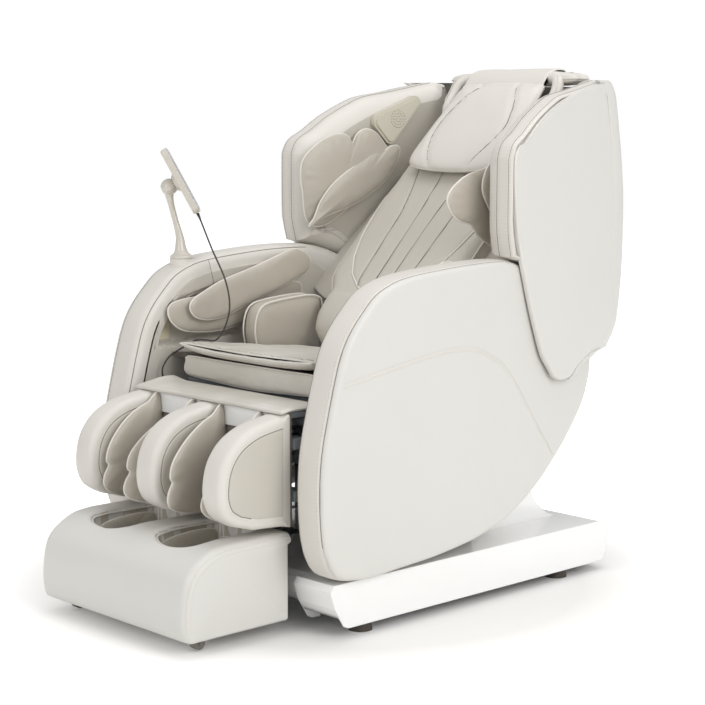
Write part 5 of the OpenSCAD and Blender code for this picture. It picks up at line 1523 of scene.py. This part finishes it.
class CHAIR_OT_seat_flaps(bpy.types.Operator):
    """Soft front face of the seat and the flap over the knee pivot"""

    bl_idname = "chair.seat_flaps"
    bl_label = "Seat flaps"

    def execute(self, context):
        z1 = seat_under(-272) - 2.3
        w = SEAT_HALF_W - 6
        outline = spaced(rounded([(-w, z1 - 12), (-w + 12, z1), (-w / 2, z1), (0, z1), (w / 2, z1), (w - 12, z1),
                                  (w, z1 - 12), (w - 4, z1 - 40), (w / 2, z1 - 48), (0, z1 - 52),
                                  (-w / 2, z1 - 48),
                                  (-w + 4, z1 - 40)], 6), 8, True)
        form = Form()
        place = lambda a, b, c: (a, -280.3 - c, b)

        def dent(q, s, h):
            return math.copysign(1, h) * (1.6 * noise(Vector((q[0] / 34, q[1] / 12, 5))) * s * (1 - s ** 8)
                                          + 0.5 * noise(Vector((q[0] / 12, q[1] / 12, 1))))

        form.puff(outline, 16, place, 0.42, LEVELS, 0, dent)
        form.tube([place(p[0], p[1], 0) for p in outline], 1.8, 1, 6, True)
        form.make("seat_apron_cover", [FINISH["seat"], FINISH["piping"]], "seat_unit", "seat_apron")
        low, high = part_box("knee_flap")
        (x0, y0, b0), (x1, y1, b1) = [[c / MM for c in p] for p in (low, high)]

        def waves(x, v, off):
            """Ripple at a place off the edge, droop of the front hem and rise of one side behind it."""
            return (2.2 * noise(Vector((x / 46, v / 18, 2))) * smooth(off / 12),
                    3.6 * smooth((y0 + 46 - v) / 46) ** 2,
                    7.0 * smooth((x0 + 60 - x) / 60) * smooth((v - y0 - 20) / 60))

        flap = Form()
        rings = []
        for v in [y0 + s for s in edge_steps(y1 - y0, 5, 5.0)]:
            d = min(v - y0, y1 - v)
            top, low_row = [], []
            for u in np.linspace(-1, 1, 90):
                x = u * (x1 - x0) / 2 + (x0 + x1) / 2
                side = min(x - x0, x1 - x)
                e = float(rim(min(d, side), 4.6))
                ripple, fall, curl = waves(x, v, min(d, side))
                top.append((x, v, b1 - e * 0.95 + ripple - fall + curl))
                low_row.append((x, v, b0 + e * 0.8 + ripple * 0.4 - fall + curl))
            rings.append(top + low_row[::-1])
        flap.loft(rings, 0)
        for v in (y0 + 8, y1 - 8):
            row = []
            for x in np.linspace(x0 + 9, x1 - 9, 70):
                ripple, fall, curl = waves(x, v, 8)
                row.append((x, v, b1 + 0.1 + ripple - fall + curl))
            flap.stitches(row, 1, pitch(), 5.0, 0.6)
        flap.make("knee_flap_cover", [FINISH["seat"], FINISH["thread"]], "leg_rest", "knee_flap")
        return {"FINISHED"}


# ---- leg rest -----------------------------------------------------------------------

CALF_LINE = [(-388, 228), (-480, 234)] + list(spline([
    (-528, 248), (-560, 271), (-575, 314), (-566, 373), (-533, 419), (-480, 447), (-414, 460)], 6)) + [(-388, 464)]


class CHAIR_OT_calf_rest(bpy.types.Operator):
    """Three walls and the back of the calf rest with side panels and seams, and the channel plates"""

    bl_idname = "chair.calf_rest"
    bl_label = "Calf rest"

    def wall(self, form, x0, x1):
        """One upright wall with rounded rims all round its curved front."""
        outline = spaced([np.array(p, float) for p in CALF_LINE], 7.0, True)
        front = np.array([smooth((-392 - p[0]) / 12) for p in outline])
        rings = []
        for s in edge_steps(x1 - x0, 13, 7.0):
            d = min(s, x1 - x0 - s)
            drop = float(rim(d, 13))
            crown = 1.6 * smooth(d / ((x1 - x0) / 2))
            n = inward(outline)
            pts = np.array(outline) + n * ((drop + 1.6 - crown) * front)[:, None]
            rings.append([(x0 + s, p[0], p[1]) for p in pts])
        form.loft(rings, 0)
        return outline

    def execute(self, context):
        form = Form()
        half, wall = LEG_HALF, CALF_WALL
        spans = [(-half, -half + wall), (-wall / 2, wall / 2), (half - wall, half)]
        for x0, x1 in spans:
            outline = self.wall(form, x0, x1)
            n = inward(outline)
            for side, x in ((-1, x0), (1, x1)):
                line = [(x - side * 0.2, p[0] + m[0] * 24, p[1] + m[1] * 24) for p, m in zip(outline, n)
                        if p[0] < -404 and 238 < p[1] < 470]
                line = in_order(line)
                # dark tube that paints the shade in the seam groove
                form.tube(line, 1.1, 1, 6)
                form.stitches([(x + side * 0.1, p[0] + m[0] * 18.5, p[1] + m[1] * 18.5)
                               for p, m in zip(outline, n) if p[0] < -404 and 240 < p[1] < 470], 2, pitch(),
                               5.0, 0.6)
                panel = [p + m * 25 for p, m in zip(outline, n) if p[0] < -408]
                panel = [q for q in panel if q[0] < -398]
                middle = np.mean(panel, axis=0)
                grey = [[(x + side * out, *mixed(middle, q, share)) for q in panel]
                        for out, share in ((-0.6, 1.0), (0.8, 1.0), (1.4, 0.985), (1.8, 0.95), (1.9, 0.9))]
                form.loft(grey, 4)
        # dark sheet across the back of the channels that paints their shade
        back = []
        for z in [228 + s for s in edge_steps(236, 3, 14.0)]:
            back.append([(x, -389.0, z) for x in np.linspace(-half + 8, half - 8, 40)]
                        + [(x, -376, z) for x in np.linspace(half - 8, -half + 8, 12)])
        form.loft(back, 3)
        form.make("calf_rest_shell", [FINISH[k] for k in ("band", "seam", "thread", "lining", "wall")], "leg_rest",
                  "calf_shell")
        plates = Form()
        for s in (-1, 1):
            x0, x1 = sorted((s * (wall / 2 + 3), s * (half - wall - 3)))
            rect = [(x0 + 8, 418), (x1 - 8, 418), (x1, 426), (x1, 463.0), (x0, 463.0), (x0, 426)]
            ring = spaced([np.array(p, float) for p in rect], 5, True)
            plates.loft([[(p[0], y, p[1]) for p in inset(ring, d)] for y, d in
                         ((-389.4, 0), (-392.6, 0), (-393.6, 0.6), (-394, 1.8))], 0)
        plates.make("calf_channel_plates", [FINISH["base"]], "leg_rest")
        return {"FINISHED"}


class CHAIR_OT_calf_airbags(bpy.types.Operator):
    """Airbag linings of the calf channels with wavy piping"""

    bl_idname = "chair.calf_airbags"
    bl_label = "Calf airbags"

    def execute(self, context):
        form = Form()
        low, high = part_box("calf_airbags")
        for s, seed in ((-1, 3.0), (1, 8.0)):
            for inner, seed2 in ((1, 0.0), (-1, 5.0)):
                # one bag lies on each wall of each channel
                face = s * (CALF_WALL / 2) if inner > 0 else s * (LEG_HALF - CALF_WALL)
                out = s * inner
                far = 14 if inner > 0 else 0
                outline = spaced(rounded([
                    (-392, 448), (-430, 441), (-470, 425), (-508 - far / 2, 396), (-536 - far, 360),
                    (-545 - far, 330), (-538 - far, 318), (-549 - far, 300), (-553 - far, 280), (-540 - far, 262),
                    (-505, 246), (-450, 240), (-392, 238)], 6), 7, True)
                x = face + out * 13.3
                lean = out * (30 if inner > 0 else 8)
                place = lambda a, b, c, x=x, lean=lean: (x + c + lean * max(0.0, -392 - a) / 170, a, b)
                form.puff(outline, 26, place, 0.42, LEVELS, 0,
                          seam_folds((-460, 340), 8.0, 0.45, 2.8, seed + seed2))
                form.tube([place(p[0], p[1], 0) for p in outline], pipe_r() + 0.3, 1, 8, True)
        form.make("calf_airbag_linings", [FINISH["airbag"], FINISH["piping"]], "leg_rest", "calf_airbags")
        return {"FINISHED"}


# ---- foot rest ----------------------------------------------------------------------

FOOT_FRONT = -BACK_REACH
FOOT_TOP = list(spline([(FOOT_FRONT + 26, 30), (FOOT_FRONT + 8, 40), (FOOT_FRONT + 2, 76), (FOOT_FRONT + 6, 126),
                        (FOOT_FRONT + 18, FOOT_H - 52), (FOOT_FRONT + 44, FOOT_H - 26),
                        (FOOT_FRONT + 84, FOOT_H - 6), (FOOT_FRONT + 130, FOOT_H)], 8)) + [(-386, FOOT_H)]
FOOT_UPPER = [(float(p[0]), float(p[1])) for p in FOOT_TOP if p[1] > 100]
WELL = spaced(rounded([(-64, -556), (-54, -580), (-18, -596), (28, -596), (62, -584), (74, -560), (72, -480),
                       (68, -420), (44, -404), (-44, -404), (-66, -420), (-70, -480)], 8), 5, True)


def foot_top(y):
    """Top of the foot rest over its length, from the turn of its front."""
    return lookup(y, FOOT_UPPER)


class CHAIR_OT_foot_rest(bpy.types.Operator):
    """Smooth foot block with two lined foot wells"""

    bl_idname = "chair.foot_rest"
    bl_label = "Foot rest"

    def execute(self, context):
        form = Form()
        lower = [p for p in spaced([np.array(q, float) for q in FOOT_TOP], 6) if p[1] < 160]
        y_start = float(lower[-1][0])
        ys = np.linspace(y_start + 1.5, -386, 92)
        tops = [foot_top(y) for y in ys]
        xs = edge_steps(2 * LEG_HALF, 18, 4.5)
        grid = [(abs(abs(s - LEG_HALF) - WELL_X) * (1 if abs(s - LEG_HALF) > WELL_X else -1), y)
                for s in xs for y in ys]
        gaps = gap_to(grid, WELL).reshape(len(xs), len(ys))
        rings, deep = [], []
        for i, s in enumerate(xs):
            x = s - LEG_HALF
            d = min(s, 2 * LEG_HALF - s)
            drop = float(rim(d, 18))
            ring = [(x, p[0] + drop * 0.93, max(p[1] - 0.3 * drop * smooth((p[1] - 90) / 60), 29 + drop * 0.6))
                    for p in lower]
            marks = [0] * len(lower)
            for j, (y, top) in enumerate(zip(ys, tops)):
                rise = (foot_top(y + 2) - foot_top(y - 2)) / 4
                long = math.hypot(1, rise)
                z = top - drop / long
                gap = gaps[i, j]
                if inside(grid[i * len(ys) + j][0], y, WELL):
                    fall = 11 + (top - 103) * smooth((gap + 0.5) / 8) ** 0.6
                    z = max(top - fall, 92.5 + 6 * (1 - smooth(gap / 20)))
                    marks.append(1 if gap > 1.5 else 0)
                else:
                    z -= max(0.0, 11 - math.sqrt(max(121 - max(0.0, 11 - gap) ** 2, 0)))
                    marks.append(0)
                ring.append((x, y + drop * rise / long, z))
            low = [(x, -388 - drop * 0.5, FOOT_H - 6 - drop), (x, -389 - drop * 0.5, 120),
                   (x, -389 - drop * 0.5, 40 + drop * 0.3), (x, -396, 29 + drop * 0.6), (x, -520, 29 + drop * 0.6),
                   (x, -636 + drop, 29 + drop * 0.6)]
            rings.append(ring + low)
            deep.append(marks + [0] * len(low))
        form.loft(rings, 0)
        n = len(rings[0])
        for i in range(len(rings) - 1):
            for j in range(n):
                k = (j + 1) % n
                if deep[i][j] + deep[i][k] + deep[i + 1][j] + deep[i + 1][k] >= 2:
                    form.finish[i * n + j] = 1
        for s in (-1, 1):
            seam = []
            for p, m in zip(*self.edge()):
                if p[1] > 52:
                    seam.append((s * (LEG_HALF - float(rim(7.5, 18)) + 0.3), p[0] + m[0] * 7.5, p[1] + m[1] * 7.5))
            form.tube(seam, 1.4, 2, 6)
            row = [(s * (LEG_HALF - 0.3), p[0] + m[0] * 17, p[1] + m[1] * 17) for p, m in zip(*self.edge())
                   if p[1] > 62 and p[0] < -396]
            form.stitches(row, 3, pitch(), 5.0, 0.6)
            rim_line = [(s * (WELL_X + p[0]), p[1], foot_top(p[1]) - 8.0) for p in WELL]
            form.tube(rim_line, pipe_r(), 2, 8, True)
            form.tube([(s * 190, -358, FOOT_H - 26), (s * 190, -358, 395)], 7.0, 4, 20)
            form.loft([[(s * x, y, z) for y, z in ((-388, 190), (-388, 212), (-346, 212), (-343, 209),
                                                   (-343, 190))]
                       for x in (0, 205)], 5)
        form.make("foot_rest_block", [FINISH[k] for k in ("outer", "airbag", "piping", "thread", "chrome",
                                                          "black")],
                  "foot_unit", "foot_rest")
        return {"FINISHED"}

    def edge(self):
        """Points of the block's side outline and the directions that lead into it."""
        line = spaced([np.array(q, float) for q in FOOT_TOP], 5)
        loop = line + [np.array((-386.0, 34.0))]
        n = inward(loop)
        return line[2:-1], n[2:len(line) - 1]


class CHAIR_OT_foot_pads(bpy.types.Operator):
    """Sole, instep and side airbags inside the foot wells"""

    bl_idname = "chair.foot_pads"
    bl_label = "Foot pads"

    def execute(self, context):
        form = Form()
        outline = spaced(rounded([(-63, -30), (-58, 12), (-27, 26), (27, 26), (58, 12), (63, -30), (45, -50),
                                  (-45, -50)], 6), 6, True)
        for s in (-1, 1):
            for y, lean, seed in ((-596, 1, 2.0), (-412, -1, 6.0)):
                place = lambda a, b, c, y=y, lean=lean, s=s: (s * WELL_X + a, y + c + lean * 0.05 * (b + 30),
                                                              156 + b)
                form.puff(outline, 14, place, 0.42, LEVELS, 0, seam_folds((0, -10), 7.0, 0.5, 2.0, seed + s))
                form.tube([place(p[0], p[1], 0) for p in outline], pipe_r() - 0.3, 1, 8, True)
            for side in (-1, 1):
                wall = spaced(rounded([(-580, 150), (-560, 186), (-500, 197), (-430, 196), (-410, 180),
                                       (-410, 120),
                                       (-500, 108), (-576, 116)], 6), 6, True)
                x = s * WELL_X + side * 65
                place = lambda a, b, c, x=x: (x + c, a, b)
                form.puff(wall, 15, place, 0.45, LEVELS, 0, seam_folds((-495, 152), 7.0, 0.5, 2.4, 3 + side + s))
                form.tube([place(p[0], p[1], 0) for p in wall], pipe_r() - 0.3, 1, 8, True)
        form.make("foot_well_pads", [FINISH["airbag"], FINISH["piping"]], "foot_unit", "foot_pads")
        return {"FINISHED"}


# ---- remote -------------------------------------------------------------------------

STAND = (-335.0, -205.0, 738.0)
BALL = (-354.0, -224.0, 903.0)
BALL_R = 19.8
TABLET_LEAN, TABLET_TURN = 62, 51


def at_tablet(x, y, z):
    """Point on the leaning tablet, measured from the ball of its stand."""
    a, b = math.radians(TABLET_LEAN), math.radians(TABLET_TURN)
    u, w = x * math.cos(a) + z * math.sin(a), -x * math.sin(a) + z * math.cos(a)
    return (BALL[0] + u * math.cos(b) - y * math.sin(b), BALL[1] + u * math.sin(b) + y * math.cos(b), BALL[2] + w)


class CHAIR_OT_remote(bpy.types.Operator):
    """Smooth stand of the remote and the screen of its tablet"""

    bl_idname = "chair.remote"
    bl_label = "Remote"

    def execute(self, context):
        form = Form()
        bell = spline([(27, 0.3), (27.2, 3), (26, 6.5), (20, 10.5), (15.5, 17), (12.6, 28), (10.2, 44)], 6)
        rings = [[(STAND[0] - 2 * smooth(z / 44) + r * math.cos(a),
                   STAND[1] - 2 * smooth(z / 44) + r * math.sin(a),
                   STAND[2] + z) for a in (2 * math.pi * k / 48 for k in range(48))] for r, z in bell]
        stem = spline([(-2, -2, 44, 10.2), (-5, -5, 64, 8.6), (-10, -10, 90, 7.4), (-15, -15, 118, 7.2),
                       (-18.5, -18.5, 140, 9.0), (-19, -19, 152, 12.5)], 6)
        rings += [[(STAND[0] + q[0] + q[3] * math.cos(a), STAND[1] + q[1] + q[3] * math.sin(a), STAND[2] + q[2])
                   for a in (2 * math.pi * k / 48 for k in range(48))] for q in stem[1:]]
        form.loft(rings, 0)
        head = []
        for k in range(25):
            t = math.radians(-90 + 7.5 * k)
            r, z = BALL_R * math.cos(t), BALL_R * math.sin(t)
            head.append([(BALL[0] + r * math.cos(a), BALL[1] + r * math.sin(a), BALL[2] + z)
                         for a in (2 * math.pi * j / 48 for j in range(48))])
        form.loft(head, 0)
        form.make("remote_stand_shell", [FINISH["pearl"]], "stand", "remote_stand", sharp=60)

        def plate(half_x, half_y, r, z):
            ring = []
            for cx, cy, a0 in ((1, 1, 0), (-1, 1, 90), (-1, -1, 180), (1, -1, 270)):
                for a in range(0, 91, 15):
                    t = math.radians(a0 + a)
                    ring.append(at_tablet(cx * (half_x - r) + r * math.cos(t),
                                          cy * (half_y - r) + r * math.sin(t), z))
            return ring

        screen = Form()
        screen.loft([plate(76, 41, 9, 36.9), plate(76, 41, 9, 37.5), plate(75.6, 40.6, 8.6, 37.8)], 0)
        screen.tube(plate(77.6, 42.6, 10.6, 37.1), 0.9, 1, 6, True)
        # painted highlight: three copies of a small bright bar of the bezel's chrome, in one place under the glass
        for _ in range(3):
            screen.loft([plate(4, 1.3, 1.2, 36.9), plate(4, 1.3, 1.2, 37.4)], 1)
        screen.make("tablet_screen", [FINISH["glass"], FINISH["chrome"]], "tablet", sharp=50)
        return {"FINISHED"}


# ---- hard parts of the frame --------------------------------------------------------

SLOT_FINISH = {
    "frame_steel": "steel", "gloss_cover": "base", "rubber_feet": "rubber", "wheel_plastic": "wheel",
    "case_metal": "case", "black_plastic": "black", "switch_plastic": "red", "leather_outer": "outer",
    "leather_band": "band", "leather_seat": "seat", "leather_pad": "airbag", "board": "board",
    "speaker_plastic": "beige", "zinc_steel": "zinc", "dark_casting": "casting", "roller_plastic": "nylon",
    "pearl_plastic": "pearl", "cord_black": "cord", "chrome_rod": "chrome"}


class CHAIR_OT_hardware(bpy.types.Operator):
    """Finishes of the frame, covers, wheels, actuators and massage carriage"""

    bl_idname = "chair.hardware"
    bl_label = "Hardware"

    def execute(self, context):
        for part in frame["record"]["subparts"]:
            piece = frame["nodes"][part["node"]]
            if not piece.material_slots:
                raise ValueError(part["node"] + " has no material slot")
            for held in piece.material_slots:
                held.link = "OBJECT"
                held.material = FINISH[SLOT_FINISH[part["material_slot"]]]
        return {"FINISHED"}


class CHAIR_OT_fasteners(bpy.types.Operator):
    """Bolts of the pivots"""

    bl_idname = "chair.fasteners"
    bl_label = "Fasteners"

    def screw(self, form, centre, axis, r, h):
        """Bolt head with a recess in its middle that shows as four notches."""
        n = Vector(axis).normalized()
        u = n.orthogonal().normalized()
        v = n.cross(u)
        rings = []
        for out, rr in ((0, 1.0), (0.35, 1.0), (0.75, 0.86), (1.0, 0.5), (0.7, 0.42), (0.7, 0.1)):
            ring = []
            for k in range(32):
                a = 2 * math.pi * k / 32
                notch = 0.62 if rr < 0.6 and k % 8 < 2 else 1.0
                spoke = (u * math.cos(a) + v * math.sin(a)) * r * rr * (1 / notch if rr < 0.6 else 1)
                ring.append(Vector(centre) + spoke + n * h * out)
            rings.append(ring)
        form.loft(rings, 0)

    def execute(self, context):
        seat = Form()
        for s in (-1, 1):
            for y, z in ((-320, 440), (110, 470), (60, 330)):
                self.screw(seat, (s * 277.5, y, z), (s, 0, 0), 7, 4)
        seat.make("pivot_bolts", [FINISH["zinc"]], "seat_unit", sharp=30)
        return {"FINISHED"}


# ---- panel and start ----------------------------------------------------------------

OPERATORS = [
    CHAIR_OT_stage, CHAIR_OT_remote_cord, CHAIR_OT_hardware, CHAIR_OT_fasteners, CHAIR_OT_side_panels,
    CHAIR_OT_arm_rests, CHAIR_OT_wing_shells, CHAIR_OT_wing_liners, CHAIR_OT_back_pad, CHAIR_OT_back_cover,
    CHAIR_OT_shoulder_airbags, CHAIR_OT_arm_airbags, CHAIR_OT_hip_pads, CHAIR_OT_pillow, CHAIR_OT_head_flap,
    CHAIR_OT_seat_cushion, CHAIR_OT_seat_flaps, CHAIR_OT_calf_rest, CHAIR_OT_calf_airbags, CHAIR_OT_foot_rest,
    CHAIR_OT_foot_pads, CHAIR_OT_remote]


class CHAIR_PT_panel(bpy.types.Panel):
    """Lists the chair's sizes, colours and pieces"""

    bl_idname = "CHAIR_PT_panel"
    bl_label = "Massage Chair"
    bl_space_type = "VIEW_3D"
    bl_region_type = "UI"
    bl_category = "Massage Chair"

    def draw(self, context):
        for group in (context.scene.chair_sizes, context.scene.chair_colours):
            column = self.layout.column(align=True)
            for name in group.__annotations__:
                column.prop(group, name)
        for operator in OPERATORS:
            self.layout.operator(operator.bl_idname)


CLASSES = [ChairColours, ChairSizes] + OPERATORS + [CHAIR_PT_panel]


def register():
    for cls in CLASSES:
        bpy.utils.register_class(cls)
    bpy.types.Scene.chair_colours = bpy.props.PointerProperty(type=ChairColours)
    bpy.types.Scene.chair_sizes = bpy.props.PointerProperty(type=ChairSizes)


def unregister():
    del bpy.types.Scene.chair_sizes
    del bpy.types.Scene.chair_colours
    for cls in reversed(CLASSES):
        bpy.utils.unregister_class(cls)


def main():
    register()
    make_finishes(bpy.context.scene.chair_colours)
    for operator in OPERATORS:
        group, name = operator.bl_idname.split(".")
        getattr(getattr(bpy.ops, group), name)()


if __name__ == "__main__":
    main()
